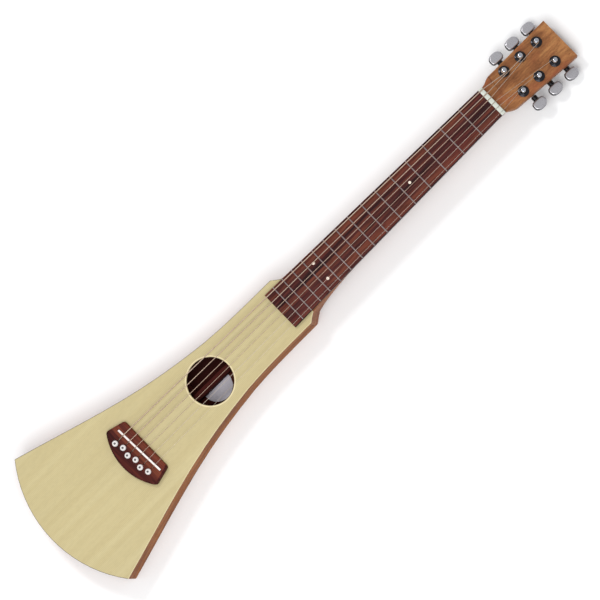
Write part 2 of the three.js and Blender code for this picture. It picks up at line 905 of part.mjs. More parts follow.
// Nut, with a slot that follows each string
function makeNut() {
  const bottom = topLevel + glueLine;
  const topAt = (half) => fretTop + nutClearance + nutLip - crown(half);
  const reach = nutWidth / 2;
  const profileAt = (half) => [
    new THREE.Vector2(yAt(0), bottom),
    new THREE.Vector2(yAt(0), topAt(half)),
    new THREE.Vector2(yAt(-nutThickness / 2), topAt(half)),
    new THREE.Vector2(yAt(-nutThickness), topAt(half) - nutSlope),
    new THREE.Vector2(yAt(-nutThickness), bottom),
  ];
  const rings = crownShares.map((share) =>
    profileAt(share * reach).map((point) => new THREE.Vector3(share * reach, point.x, point.y)),
  );
  let nut = solid(loft(rings, profileAt(0)));
  for (const tuner of tuners) {
    const half = stringHalf(nutSpread, tuner.index);
    const floor = nutLevel(half, tuner.gauge) - tuner.gauge / 2 - stringPlay;
    const back = nutThickness + overrun;
    const slot = [
      new THREE.Vector2(overrun, floor),
      new THREE.Vector2(0, floor),
      new THREE.Vector2(-back, floor - headFall(tuner) * back),
      new THREE.Vector2(-back, fretTop + overrun),
      new THREE.Vector2(overrun, fretTop + overrun),
    ];
    nut = nut.subtract(crossPrism(slot, half, tuner.gauge + 2 * stringPlay));
  }
  return nut;
}

addPiece('nut', makeNut(), bone);

// Bridge, saddle, bridge plate and pins
const saddleTurn = Math.atan(saddleSkew / saddleLength);

function saddleBlank(length, thickness, bottom, topAt) {
  const steps = 8;
  const shape = new THREE.Shape([
    new THREE.Vector2(length / 2, bottom),
    new THREE.Vector2(-length / 2, bottom),
    ...Array.from({ length: steps + 1 }, (_, i) => {
      const half = length * (i / steps - 1 / 2);
      return new THREE.Vector2(half, topAt(half));
    }),
  ]);
  const geometry = new THREE.ExtrudeGeometry(shape, { depth: thickness, bevelEnabled: false });
  geometry.rotateX(quarterTurn).translate(0, thickness / 2, 0);
  return geometry.rotateZ(saddleTurn).translate(0, yAt(saddleMiddle), 0);
}

function makeBridge() {
  const front = saddleMiddle - bridgeFront;
  const shoulder = front + bridgeShoulder;
  const sweep = Math.asin(bridgeWidth / 2 / bridgeTailRadius);
  const end = shoulder + bridgeTailRadius * (1 - Math.cos(sweep));
  const arcSteps = 7;
  const side = [
    new THREE.Vector2(0, front),
    new THREE.Vector2(bridgeFrontWidth / 2, front),
    new THREE.Vector2(bridgeWidth / 2, shoulder),
    ...Array.from({ length: arcSteps }, (_, i) => {
      const turn = sweep * (1 - (i + 1) / arcSteps);
      const fall = bridgeTailRadius * (1 - Math.cos(turn));
      return new THREE.Vector2(bridgeTailRadius * Math.sin(turn), end - fall);
    }),
  ];
  easeCorner(side, 2, bridgeRounding, cornerSteps - 1);
  easeCorner(side, 1, bridgeRounding, cornerSteps - 1);
  const outline = [...side, ...mirrored(side).slice(side.length, -1)];
  const bottom = topLevel + glueLine;
  const shape = new THREE.Shape(outline.map((point) => new THREE.Vector2(point.x, yAt(point.y))));
  const geometry = new THREE.ExtrudeGeometry(shape, {
    depth: bridgeHeight - bridgeBevel,
    bevelThickness: bridgeBevel,
    bevelSize: bridgeBevel,
    bevelOffset: -bridgeBevel,
    bevelSegments: 2,
  });
  const below = slab(
    -bridgeWidth,
    bridgeWidth,
    front - overrun,
    end + overrun,
    bottom - 2 * bridgeBevel,
    bottom,
  );
  const slot = saddleBlank(
    saddleLength + 2 * seatGap,
    saddleThickness + 2 * seatGap,
    slotFloor,
    () => bridgeTop + overrun,
  );
  return solid(geometry.translate(0, 0, bottom)).subtract(below).subtract(solid(slot)).subtract(pinCuts);
}

function makePlate() {
  const plate = slab(
    -plateWidth / 2,
    plateWidth / 2,
    plateMiddle - plateLength / 2,
    plateEnd,
    plateBottom,
    plateTop,
  );
  return plate.subtract(pinCuts);
}

function makePin() {
  const sides = 9;
  const head = bridgeTop + seatGap;
  return turned(
    [
      [0, head - pinLength],
      [pinTipRadius, head - pinLength],
      [pinRadius, head],
      ...pinHeadShares.map(([across, up]) => [across * pinHeadRadius, head + up * pinHeadHeight]),
    ],
    sides,
  );
}

const saddleFoot = slotFloor + seatGap;
const saddle = saddleBlank(saddleLength, saddleThickness, saddleFoot, (half) => saddleTop - crown(half));
addPiece('bridge', makeBridge(), darkBoard);
addPiece('saddle', saddle, bone);
addPiece('bridge_plate', makePlate(), maple);
for (let index = 0; index < stringCount; index++) {
  const pin = addPiece(`bridge_pin_${index + 1}`, makePin(), whitePlastic);
  pin.position.set(stringHalf(saddleSpread, index), yAt(pinStation(index)), 0);
}

// Machine heads. A worm on the key's shaft turns a wheel on the post's foot inside the housing.
const wheelRadius = (gearModule * wheelTeeth) / 2;
const gearSpacing = wheelRadius + wormRadius;
const circularPitch = halfTurn * gearModule;
const leadPerRadian = circularPitch / fullTurn;
const backLevel = -headThickness - seatGap;
const wormLevel = backLevel - wormDrop;
const floorLevel = backLevel - housingDepth + housingWall;
const wheelTipRadius = wheelRadius + toothReach;
const wormTipRadius = wormRadius + toothReach;
const cavityHalf = wheelTipRadius + gearRoom;
const cavityFront = gearSpacing + wormTipRadius + gearRoom;
const shaftRadius = wormRadius - toothDepth;
const boreRadius = (radius) => radius + runningPlay;
const keySides = 8;

// Thickness of a tooth at the pitch line, at its tip and at its root
const toothThickness = (circularPitch - toothPlay) / 2;
const tipThickness = toothThickness - tipNarrowing;
const rootThickness = toothThickness + rootWidening;

function makeWheel() {
  const ring = (level) => {
    const twist = (leadPerRadian / wormRadius) * (level / wheelRadius);
    const points = [];
    for (let tooth = 0; tooth < wheelTeeth; tooth++) {
      const middle = quarterTurn + twist + (fullTurn * (tooth + 1 / 2)) / wheelTeeth;
      const rootRadius = wheelRadius - toothDepth;
      const corners = [
        [rootRadius, -rootThickness],
        [wheelTipRadius, -tipThickness],
        [wheelTipRadius, tipThickness],
        [rootRadius, rootThickness],
      ];
      for (const [radius, thickness] of corners) {
        const turn = middle + thickness / 2 / radius;
        points.push(
          new THREE.Vector3(radius * Math.cos(turn), radius * Math.sin(turn), wormLevel + level),
        );
      }
    }
    return points;
  };
  const low = ring(-wheelThickness / 2);
  const capOutline = low.map((point) => new THREE.Vector2(point.x, point.y));
  return solid(loft([low, ring(wheelThickness / 2)], capOutline));
}

function makePost() {
  const foot = floorLevel + seatGap;
  const post = turned(
    [
      [0, foot],
      [postRadius, foot],
      [postRadius, waistBottom - postDome],
      [postWaist, waistBottom],
      [postWaist, waistTop],
      [postRadius, waistTop + postDome],
      [postRadius - postDome, postTop],
      [0, postTop],
    ],
    postSides,
  );
  const holeSides = 6;
  const holeLength = 2 * postRadius + overrun;
  const hole = new THREE.CylinderGeometry(stringHoleRadius, stringHoleRadius, holeLength, holeSides);
  return solid(post).add(makeWheel()).subtract(solid(hole.translate(0, 0, stringHoleLevel)));
}

// The worm's thread is a ridge wound round the shaft, in mesh with the wheel at rest
function makeThread() {
  const stepsPerTurn = keySides;
  const steps = wormTurns * stepsPerTurn;
  const core = shaftRadius / 2;
  const corners = [
    [core, -rootThickness / 2],
    [wormTipRadius, -tipThickness / 2],
    [wormTipRadius, tipThickness / 2],
    [core, rootThickness / 2],
  ];
  const rings = Array.from({ length: steps + 1 }, (_, i) => {
    const turn = fullTurn * (i / stepsPerTurn - wormTurns / 2);
    const axial = leadPerRadian * turn;
    return corners.map(
      ([radius, offset]) =>
        new THREE.Vector3(
          axial + offset,
          gearSpacing + radius * Math.cos(turn + halfTurn),
          wormLevel + radius * Math.sin(turn + halfTurn),
        ),
    );
  });
  const capOutline = corners.map(([radius, offset]) => new THREE.Vector2(radius, offset));
  return solid(loft(rings, capOutline));
}

// Turned about the key's axis, from pairs of radius and distance out from the post's axis
function turnedKey(profile, side) {
  const points = profile.map(([radius, out]) => new THREE.Vector2(radius, out));
  const geometry = new THREE.LatheGeometry(points, keySides).rotateZ(-side * quarterTurn);
  return geometry.translate(0, gearSpacing, wormLevel);
}

function makeKey({ side, half }) {
  const buttonMiddle = buttonSpread / 2 - Math.abs(half);
  const buttonStart = buttonMiddle - buttonWidth / 2;
  const innerEnd = -cavityHalf - housingWall / 2;
  const shaft = turnedKey(
    [
      [0, innerEnd],
      [shaftRadius, innerEnd],
      [shaftRadius, collarEnd + seatGap],
      [stemRadius, collarEnd + seatGap],
      [stemRadius, buttonStart + buttonRounding],
      [0, buttonStart + buttonRounding],
    ],
    side,
  );
  const sides = 12;
  const oval = new THREE.Shape(
    Array.from({ length: sides }, (_, i) => {
      const turn = (fullTurn * i) / sides;
      return new THREE.Vector2(
        (buttonWidth / 2) * Math.cos(turn),
        (buttonLength / 2) * Math.sin(turn),
      );
    }),
  );
  const button = new THREE.ExtrudeGeometry(oval, {
    depth: buttonThickness - 2 * buttonRounding,
    bevelThickness: buttonRounding,
    bevelSize: buttonRounding,
    bevelOffset: -buttonRounding,
    bevelSegments: 2,
  });
  button.translate(0, 0, buttonRounding - buttonThickness / 2);
  button.translate(side * buttonMiddle, gearSpacing, wormLevel);
  return solid(shaft).add(makeThread()).add(solid(button));
}

function roundedBox(left, right, near, far, rounding) {
  const shape = new THREE.Shape();
  shape.moveTo(left + rounding, near);
  shape.lineTo(right - rounding, near);
  shape.quadraticCurveTo(right, near, right, near + rounding);
  shape.lineTo(right, far - rounding);
  shape.quadraticCurveTo(right, far, right - rounding, far);
  shape.lineTo(left + rounding, far);
  shape.quadraticCurveTo(left, far, left, far - rounding);
  shape.lineTo(left, near + rounding);
  shape.quadraticCurveTo(left, near, left + rounding, near);
  return shape;
}

function levelPrism(shape, bottom, top, curveSegments) {
  const options = { depth: top - bottom, bevelEnabled: false, curveSegments };
  return solid(new THREE.ExtrudeGeometry(shape, options).translate(0, 0, bottom));
}

function makeHousing({ side }) {
  const outer = cavityHalf + housingWall;
  const near = -outer;
  const far = cavityFront + housingWall;
  const shell = roundedBox(-outer, outer, near, far, housingRounding);
  const room = roundedBox(
    -cavityHalf,
    cavityHalf,
    -cavityHalf,
    cavityFront,
    housingRounding - housingWall,
  );
  const outerSteps = 2;
  const lugSteps = 4;
  const bottom = backLevel - housingDepth;
  const collar = turnedKey(
    [
      [0, cavityHalf + housingWall / 2],
      [collarRadius, cavityHalf + housingWall / 2],
      [collarRadius, collarEnd],
      [0, collarEnd],
    ],
    side,
  );
  const bore = turnedKey(
    [
      [0, -outer - overrun],
      [boreRadius(shaftRadius), -outer - overrun],
      [boreRadius(shaftRadius), collarEnd + overrun],
      [0, collarEnd + overrun],
    ],
    side,
  );
  const lug = new THREE.Shape();
  lug.moveTo(-lugRadius, near + housingWall);
  lug.lineTo(-lugRadius, near - lugLength + lugRadius);
  lug.absarc(0, near - lugLength + lugRadius, lugRadius, halfTurn, fullTurn);
  lug.lineTo(lugRadius, near + housingWall);
  const screwDepth = lugThickness + 2 * overrun;
  const screwHole = new THREE.CylinderGeometry(lugHoleRadius, lugHoleRadius, screwDepth, keySides);
  screwHole.rotateX(quarterTurn).translate(0, near - lugLength + lugRadius, backLevel - lugThickness / 2);
  return levelPrism(shell, bottom, backLevel, outerSteps)
    .subtract(levelPrism(room, floorLevel, backLevel + overrun, 1))
    .add(solid(collar))
    .subtract(solid(bore))
    .add(levelPrism(lug, backLevel - lugThickness, backLevel, lugSteps))
    .subtract(solid(screwHole));
}

function makeBushing() {
  const washerTop = seatGap + washerThickness;
  const barrel = turned(
    [
      [0, -bushingDepth],
      [bushingRadius, -bushingDepth],
      [bushingRadius, seatGap],
      [washerRadius, seatGap],
      [washerRadius, washerTop],
      [0, washerTop],
    ],
    postSides,
  );
  const hexSides = 6;
  const hexRadius = hexAcross / (2 * Math.cos(halfTurn / hexSides));
  const hex = new THREE.CylinderGeometry(hexRadius, hexRadius, hexHeight + washerThickness / 2, hexSides);
  hex.rotateX(quarterTurn).translate(0, 0, washerTop + hexHeight / 2 - washerThickness / 4);
  const bore = new THREE.CylinderGeometry(
    boreRadius(postRadius),
    boreRadius(postRadius),
    2 * (bushingDepth + overrun),
    postSides,
  );
  return solid(barrel).add(solid(hex)).subtract(solid(bore.rotateX(quarterTurn)));
}

for (const tuner of tuners) {
  const group = new THREE.Group();
  group.position.set(tuner.half, tuner.along, 0);
  headFrame.add(group);
  const name = `tuner_${tuner.index + 1}`;
  addPiece(`${name}_housing`, makeHousing(tuner), satinChrome, group);
  addPiece(`${name}_bushing`, makeBushing(), chrome, group);
  addPiece(`${name}_post`, makePost(), chrome, group);
  addPiece(`${name}_key`, makeKey(tuner), satinChrome, group);
}

export default guitar;
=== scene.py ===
# %% [markdown]
# # A travel guitar, dressed over its measured frame
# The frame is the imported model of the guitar: every solid of it is already in place, in metres, with
# +Y towards the headstock, +X towards the thinnest string and +Z up out of the soundboard. Blender adds
# what the eye wants: rounded edges, turned metal, wire, wood and light.

# %% Load the frame
import math
import bmesh
import bpy
from mathutils import Matrix, Quaternion, Vector


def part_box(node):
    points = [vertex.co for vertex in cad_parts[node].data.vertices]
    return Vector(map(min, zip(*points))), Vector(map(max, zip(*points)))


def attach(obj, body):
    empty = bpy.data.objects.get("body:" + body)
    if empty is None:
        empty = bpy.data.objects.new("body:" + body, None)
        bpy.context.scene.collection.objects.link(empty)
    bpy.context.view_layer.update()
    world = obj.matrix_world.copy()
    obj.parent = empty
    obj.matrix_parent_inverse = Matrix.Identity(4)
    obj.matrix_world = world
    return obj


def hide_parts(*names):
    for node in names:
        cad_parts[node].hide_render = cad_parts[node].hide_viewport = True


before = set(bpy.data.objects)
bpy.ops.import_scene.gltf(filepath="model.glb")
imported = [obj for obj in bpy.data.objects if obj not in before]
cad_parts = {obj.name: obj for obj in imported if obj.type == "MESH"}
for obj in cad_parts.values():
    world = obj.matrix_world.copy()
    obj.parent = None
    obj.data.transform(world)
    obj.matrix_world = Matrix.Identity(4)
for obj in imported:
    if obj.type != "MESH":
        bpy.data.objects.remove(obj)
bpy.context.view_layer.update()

mm = 0.001
print("nodes in the frame:", len(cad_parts))


def add_object(name, data):
    made = bpy.data.objects.new(name, data)
    bpy.context.scene.collection.objects.link(made)
    return made


def mesh_of(shape, name):
    """A shape's mesh. The shape itself is let go."""
    mesh = bpy.data.meshes.new(name)
    shape.to_mesh(mesh)
    shape.free()
    return mesh

# %% [markdown]
# ## The camera
# The guitar lies on its back and is seen from above through a long lens, with the neck running up to
# the right. The camera could be placed by eye, but it was found by laying corners, pins and frets of the
# solids over the photograph until they agreed, so it is given here by its leans.

# %% Put the camera where the photograph was taken
lean_to_treble = math.radians(8.4)
lean_to_head = math.radians(5.5)
turn_of_picture = math.radians(45.245)
camera_distance = 8.0
picture_size = 600
pixels_per_mm = 0.8045
aim_height = 40 * mm
sideways, upwards = -5.82 * mm, -13.17 * mm

towards_camera = Vector((math.tan(lean_to_treble), math.tan(lean_to_head), 1)).normalized()
level_right = Vector((0, 1, 0)).cross(towards_camera).normalized()
level_up = towards_camera.cross(level_right)
turn = Quaternion(towards_camera, turn_of_picture)
picture_right, picture_up = turn @ level_right, turn @ level_up

lens = bpy.data.cameras.new("photo_camera")
lens.sensor_width = 36
lens.lens = pixels_per_mm * camera_distance / mm / picture_size * lens.sensor_width
lens.clip_end = 50
camera = add_object("photo_camera", lens)
aim = Vector((0, 0, aim_height)) + picture_right * sideways + picture_up * upwards
camera.matrix_world = (Matrix.Translation(aim + towards_camera * camera_distance)
                       @ Matrix((picture_right, picture_up, towards_camera)).transposed().to_4x4())
bpy.context.scene.camera = camera
print("lens", round(lens.lens, 1), "mm, camera at", [round(v, 3) for v in camera.matrix_world.translation])

# %% [markdown]
# ## Light
# A product picture like this is taken in a white tent, which lights it from all round, with one lamp at
# the upper left that gives polished metal its sparkle. Here an even world does the work of the tent, a
# broad area light fills the near side, and a smaller one is the lamp.

# %% Hang the lights
def area_light(name, place, size, watts):
    """A square light that looks at the middle of the guitar."""
    light = bpy.data.lights.new(name, "AREA")
    light.shape, light.size, light.energy = "SQUARE", size, watts
    lamp = add_object(name, light)
    turned = (-Vector(place)).to_track_quat("-Z", "Y").to_matrix().to_4x4()
    lamp.matrix_world = Matrix.Translation(place) @ turned


area_light("sparkle_lamp", (-1.5, 0.2, 2.6), 0.5, 23)
area_light("near_side_light", (0.8, -0.6, 3.0), 2.2, 57)
world = bpy.data.worlds.new("studio")
world.use_nodes = True
tent = world.node_tree.nodes["Background"]
tent.inputs["Color"].default_value = (0.97, 0.98, 1.0, 1)
tent.inputs["Strength"].default_value = 0.58
bpy.context.scene.world = world
bpy.context.scene.view_settings.view_transform = "Standard"

# %% [markdown]
# ## Mixing finishes
# Each finish is a small tree of nodes that ends in one Principled shader. The patterns are worked out
# from the place of each point on the object, so nothing has to be unwrapped and no picture is needed.
# A few helpers keep the trees short: they add a node and fill or link its inputs, and name the patterns
# that wood and metal need.

# %% Helpers for finishes
def srgb(red, green, blue):
    """A colour as a screen shows it, made linear, as Blender mixes colours."""
    straight = [c / 255 for c in (red, green, blue)]
    return tuple(c / 12.92 if c <= 0.04045 else ((c + 0.055) / 1.055) ** 2.4 for c in straight) + (1,)


def add_node(tree, kind, inputs, **settings):
    made = tree.nodes.new(kind)
    for key, value in settings.items():
        setattr(made, key, value)
    for key, value in inputs.items():
        if isinstance(value, bpy.types.NodeSocket):
            tree.links.new(value, made.inputs[key])
        else:
            made.inputs[key].default_value = value
    return made


def start_finish(name, **values):
    finish = bpy.data.materials.new(name)
    finish.use_nodes = True
    tree = finish.node_tree
    shader = tree.nodes["Principled BSDF"]
    for key, value in values.items():
        shader.inputs[key.replace("_", " ").title().replace("Ior", "IOR")].default_value = value
    return finish, tree, shader


def feed(shader, **patterns):
    """Links patterns to the shader's sockets of the same names."""
    for key, value in patterns.items():
        shader.id_data.links.new(value, shader.inputs[key.replace("_", " ").title()])


def spread_over(tree, stretch=(1, 1, 1)):
    """Places on the object. A number below 1 draws a pattern out along that axis."""
    place = tree.nodes.new("ShaderNodeTexCoord").outputs["Object"]
    return add_node(tree, "ShaderNodeMapping", {"Vector": place, "Scale": stretch}).outputs[0]


# %% Patterns
def noise(tree, where, scale, detail=2.0, roughness=0.5, distortion=0.0):
    return add_node(tree, "ShaderNodeTexNoise", {
        "Vector": where, "Scale": scale, "Detail": detail, "Roughness": roughness, "Distortion": distortion,
    }).outputs[0]


def ramp(tree, factor, *stops):
    node = add_node(tree, "ShaderNodeValToRGB", {0: factor})
    while len(node.color_ramp.elements) < len(stops):
        node.color_ramp.elements.new(0.5)
    for element, (position, colour) in zip(node.color_ramp.elements, stops):
        element.position = position
        element.color = colour
    return node.outputs[0]


def mix(tree, factor, first, second, kind="MIX"):
    inputs = {0: factor, 6: first, 7: second}
    return add_node(tree, "ShaderNodeMix", inputs, data_type="RGBA", blend_type=kind).outputs[2]


def emboss(tree, height, strength, depth):
    inputs = {"Height": height, "Strength": strength, "Distance": depth}
    return add_node(tree, "ShaderNodeBump", inputs).outputs[0]


def fading(tree, value, whole, nothing):
    """A share that is 1 up to the value named whole, and falls to 0 at the one named nothing."""
    return add_node(tree, "ShaderNodeMapRange", {
        "Value": value, "From Min": whole, "From Max": nothing, "To Min": 1.0, "To Max": 0.0,
    }).outputs[0]


def grey(level):
    return level, level, level, 1


# At a scale of 1, a band of Blender's wave texture is this wide.
wave_width = 0.314

# %% [markdown]
# ## Woods
# Four woods show on the guitar. The soundboard is spruce, sawn so that its yearly rings run as fine
# straight lines from end to end. Back, sides and neck are mahogany, with short dark pores and broad
# soft bands. Fingerboard and bridge are an oily dark rosewood. In Blender a wood can be a photograph
# wrapped on, or a noise that is drawn out along the grain. The second way has no seams and follows each
# piece's own direction, so it is used for all of them.

# %% Woods with open pores
def pored_wood(name, colours, along, band=55.0, drawn_out=0.09, contrast=0.16, fine_dark=0.8, red_share=0.0,
               pore_depth=0.55, roughness=0.5, gloss=0.25):
    finish, tree, shader = start_finish(name, roughness=roughness, specular_ior_level=gloss)

    def drawn(share):
        return spread_over(tree, tuple(share if axis == along else 1.0 for axis in "XYZ"))

    bands = noise(tree, drawn(drawn_out), scale=band, detail=3.0, roughness=0.55, distortion=0.6)
    streaks = noise(tree, drawn(0.03), scale=band * 6, detail=3.0, roughness=0.6)
    pores = noise(tree, drawn(0.06), scale=1500, detail=1.5)
    zones = noise(tree, drawn(0.4), scale=42, detail=1.5)
    light, middle, dark, red, pore_colour = (srgb(*colour) for colour in colours)
    broad = ramp(tree, bands, (0.5 - contrast, dark), (0.5, middle), (0.5 + contrast, light))
    fine = ramp(tree, streaks, (0.36, grey(fine_dark)), (0.6, grey(1.0)))
    grain = mix(tree, 1.0, broad, fine, "MULTIPLY")
    redness = ramp(tree, zones, (0.5, grey(0.0)), (0.66, grey(red_share)))
    grain = mix(tree, redness, grain, red)
    flecks = ramp(tree, pores, (0.60, grey(0.0)), (0.70, grey(pore_depth)))
    sunk = add_node(tree, "ShaderNodeMath", {0: 1.0, 1: flecks}, operation="SUBTRACT").outputs[0]
    feed(shader, base_color=mix(tree, flecks, grain, pore_colour),
         normal=emboss(tree, sunk, strength=0.4, depth=0.12 * mm))
    return finish


# %% Mix the open-pored woods
# Each palette holds a wood's light, middle and dark bands, its redder places and its pores.
mahogany = [(164, 104, 54), (148, 88, 44), (126, 71, 34), (132, 66, 35), (86, 44, 22)]
neck_mahogany = [(174, 121, 75), (156, 103, 63), (134, 85, 52), (142, 76, 50), (88, 49, 31)]
shaded_raw_mahogany = [(94, 42, 34), (72, 30, 26), (52, 21, 18), (70, 20, 18), (30, 12, 10)]
rosewood = [(112, 57, 42), (82, 38, 35), (44, 18, 20), (90, 34, 32), (20, 8, 10)]
board_edge_shade_rosewood = [(48, 20, 18), (34, 13, 13), (20, 7, 8), (38, 12, 12), (10, 3, 4)]
red_rosewood = [(128, 66, 44), (108, 50, 36), (86, 36, 28), (108, 38, 30), (40, 14, 12)]
bridge_slope_shade_rosewood = [(84, 32, 27), (64, 20, 20), (42, 12, 13), (70, 20, 20), (20, 6, 7)]
side_wood = pored_wood("satin_mahogany", mahogany, "Y", gloss=0.04)
tail_wood = pored_wood("satin_mahogany_tail", mahogany, "X", gloss=0.04)
neck_wood = pored_wood("satin_neck_mahogany", neck_mahogany, "Y", band=95, drawn_out=0.1, contrast=0.12,
                       fine_dark=0.7, red_share=0.6, gloss=0.12)
# Painted shade: the raw wood inside the box is made darker, as it lies in shade.
shaded_inside_wood = pored_wood("shaded_raw_mahogany", shaded_raw_mahogany, "Y", roughness=0.8, gloss=0.05)
board_wood = pored_wood("oiled_rosewood_board", rosewood, "Y", band=150, drawn_out=0.03, contrast=0.12,
                        fine_dark=0.45, red_share=0.3, roughness=0.5, gloss=0.08)
board_edge_painted_shade = pored_wood("rosewood_edge_painted_shade", board_edge_shade_rosewood, "Y", band=150, drawn_out=0.03,
                             roughness=0.4, gloss=0.1)
bridge_grain = {"band": 150, "drawn_out": 0.06, "contrast": 0.13, "fine_dark": 0.62, "red_share": 0.3,
                "roughness": 0.45, "gloss": 0.08}
bridge_wood = pored_wood("oiled_rosewood_bridge", red_rosewood, "X", **bridge_grain)
print("open-pored woods mixed:", len(bpy.data.materials))


# %% Let a wood darken along the guitar
def shade_along(finish, start, end, shade):
    """Tints a wood along the guitar, from nothing at one place to the whole shade at the other."""
    tree = finish.node_tree
    shader = tree.nodes["Principled BSDF"]
    wood = shader.inputs["Base Color"].links[0].from_socket
    along = add_node(tree, "ShaderNodeSeparateXYZ", {0: spread_over(tree)}).outputs["Y"]
    shaded = mix(tree, 1.0, wood, shade, "MULTIPLY")
    feed(shader, base_color=mix(tree, fading(tree, along, end, start), wood, shaded))


# The neck darkens and reddens from the head towards the body, to the tone of the sides. The bridge gets
# painted shade towards its tail, behind the pins, and its slopes get a deeper red of painted shade.
shade_along(neck_wood, start=335 * mm, end=230 * mm, shade=(0.88, 0.68, 0.46, 1))
shade_along(bridge_wood, start=-288 * mm, end=-299 * mm, shade=(0.42, 0.26, 0.34, 1))
bridge_slope_painted_shade = pored_wood("rosewood_slope_painted_shade", bridge_slope_shade_rosewood, "X", **bridge_grain)


# %% Spruce with its yearly rings, and plain maple
def ringed_wood(name, pale, ring, ring_spacing, shade, roughness, coat):
    finish, tree, shader = start_finish(name, roughness=roughness, coat_weight=coat, coat_roughness=0.3)
    rings = add_node(tree, "ShaderNodeTexWave", {
        "Vector": spread_over(tree, (1, 0.06, 0.4)), "Scale": wave_width / ring_spacing, "Distortion": 5.0,
        "Detail": 2.0, "Detail Scale": 0.22, "Detail Roughness": 0.5,
    }, wave_type="BANDS", bands_direction="X").outputs[1]
    late = ramp(tree, rings, (0.45, grey(0.0)), (0.95, grey(1.0)))
    stripes = noise(tree, spread_over(tree, (1, 0.025, 1)), scale=95, detail=2.5)
    cloud = noise(tree, spread_over(tree, (1, 0.5, 1)), scale=16)
    stripe_tint = ramp(tree, stripes, (0.35, shade), (0.65, grey(1.0)))
    cloud_tint = ramp(tree, cloud, (0.3, grey(0.965)), (0.7, grey(1.0)))
    specks = noise(tree, spread_over(tree, (1, 0.3, 1)), scale=420, roughness=0.6)
    speck_tint = ramp(tree, specks, (0.35, grey(0.955)), (0.6, grey(1.0)))
    late_share = add_node(tree, "ShaderNodeMath", {0: late, 1: 0.45}, operation="MULTIPLY").outputs[0]
    grain = mix(tree, late_share, srgb(*pale), srgb(*ring))
    tinted = mix(tree, 1.0, mix(tree, 1.0, grain, stripe_tint, "MULTIPLY"), cloud_tint, "MULTIPLY")
    feed(shader, base_color=mix(tree, 1.0, tinted, speck_tint, "MULTIPLY"),
         normal=emboss(tree, rings, strength=0.06, depth=0.05 * mm))
    return finish


top_wood = ringed_wood("satin_spruce", (192, 178, 129), (176, 159, 108), 1.8 * mm,
                       (0.93, 0.91, 0.86, 1), 0.42, 0.08)
edge_wood = ringed_wood("spruce_cut_edge", (218, 204, 158), (204, 188, 138), 1.8 * mm,
                        (0.97, 0.96, 0.93, 1), 0.55, 0.0)
# Painted shade: a darker copy of the spruce for the rim faces towards the bass side and the tail.
painted_shade_rim = ringed_wood("spruce_shaded_edge", (120, 112, 92), (104, 94, 76), 1.8 * mm,
                        (0.97, 0.96, 0.93, 1), 0.6, 0.0)
plate_wood = ringed_wood("bare_maple", (214, 184, 136), (196, 160, 110), 2.6 * mm,
                         (0.95, 0.93, 0.9, 1), 0.6, 0.0)
print("woods mixed:", len(bpy.data.materials))

# %% [markdown]
# ## Metals, bone, plastic and paper
# Chrome is bare metal with almost no roughness, but hands and cloths leave faint marks that show in its
# reflections. Satin chrome, nickel silver and steel wire are the same idea with more of them. Bone and
# plastic are nearly plain, so a little cloudiness in colour and gloss keeps them from looking painted.

# %% Metals
def uneven(tree, pattern, level, spread):
    """A level that goes a little up and down with a pattern."""
    return ramp(tree, pattern, (0.3, grey(level - spread)), (0.7, grey(level + spread)))


def plated_metal(name, colour, roughness, spread, scale=700.0, stretch=(1, 1, 1)):
    finish, tree, shader = start_finish(name, metallic=1.0)
    marks = noise(tree, spread_over(tree, stretch), scale, detail=4.0, roughness=0.6)
    clean = srgb(*colour)
    dull = tuple(c * 0.9 for c in clean[:3]) + (1,)
    feed(shader, roughness=uneven(tree, marks, roughness, spread),
         base_color=ramp(tree, marks, (0.3, clean), (0.75, dull)))
    return finish


# Painted reflection: the bushings' chrome is made nearly black, standing in for dark surroundings it
# mirrors.
chrome_painted_dark = plated_metal("chrome_painted_dark", (54, 54, 58), 0.14, 0.04)
post_chrome = plated_metal("post_chrome", (198, 202, 210), 0.16, 0.05)
satin_chrome = plated_metal("satin_chrome", (198, 196, 200), 0.3, 0.05, 900)
# Painted shade: a darker chrome for the key collars, the sleeves and the walls of the buttons.
chrome_painted_shade = plated_metal("collar_chrome_painted_shade", (60, 60, 63), 0.2, 0.06, 900)
screw_metal = plated_metal("nickel_screws", (188, 186, 180), 0.28, 0.07, 1500)
fret_metal = plated_metal("nickel_silver", (140, 124, 122), 0.45, 0.06, 900, (0.1, 1, 1))
steel_wire = plated_metal("drawn_steel", (206, 192, 178), 0.55, 0.05, 1800, (1, 0.05, 1))


def wound_wire(name, colour, gap_colour, pitch):
    """Bronze wire wound on steel: its turns are a fine wave along the string's own length."""
    finish, tree, shader = start_finish(name, metallic=1.0, roughness=0.45)
    along = add_node(tree, "ShaderNodeAttribute", {}, attribute_name="along").outputs["Fac"]
    line = add_node(tree, "ShaderNodeCombineXYZ", {"X": along}).outputs[0]
    turns = add_node(tree, "ShaderNodeTexWave", {"Vector": line, "Scale": wave_width / pitch},
                     wave_type="BANDS", bands_direction="X").outputs[1]
    feed(shader, base_color=ramp(tree, turns, (0.05, srgb(*gap_colour)), (0.5, srgb(*colour))),
         normal=emboss(tree, turns, strength=0.35, depth=pitch / 3))
    return finish


bronze_wire = wound_wire("bronze_winding", (190, 168, 150), (170, 146, 128), 0.34 * mm)


# %% Bone, plastic and paper
def cloudy_solid(name, colour, shade, roughness, scale=220.0, coat=0.0, grain=0.04):
    finish, tree, shader = start_finish(name, coat_weight=coat, coat_roughness=0.15)
    cloud = noise(tree, spread_over(tree), scale, detail=3.0, roughness=0.55)
    feed(shader, base_color=ramp(tree, cloud, (0.3, srgb(*shade)), (0.7, srgb(*colour))),
         roughness=uneven(tree, cloud, roughness, grain),
         normal=emboss(tree, cloud, strength=0.05, depth=0.1 * mm))
    return finish


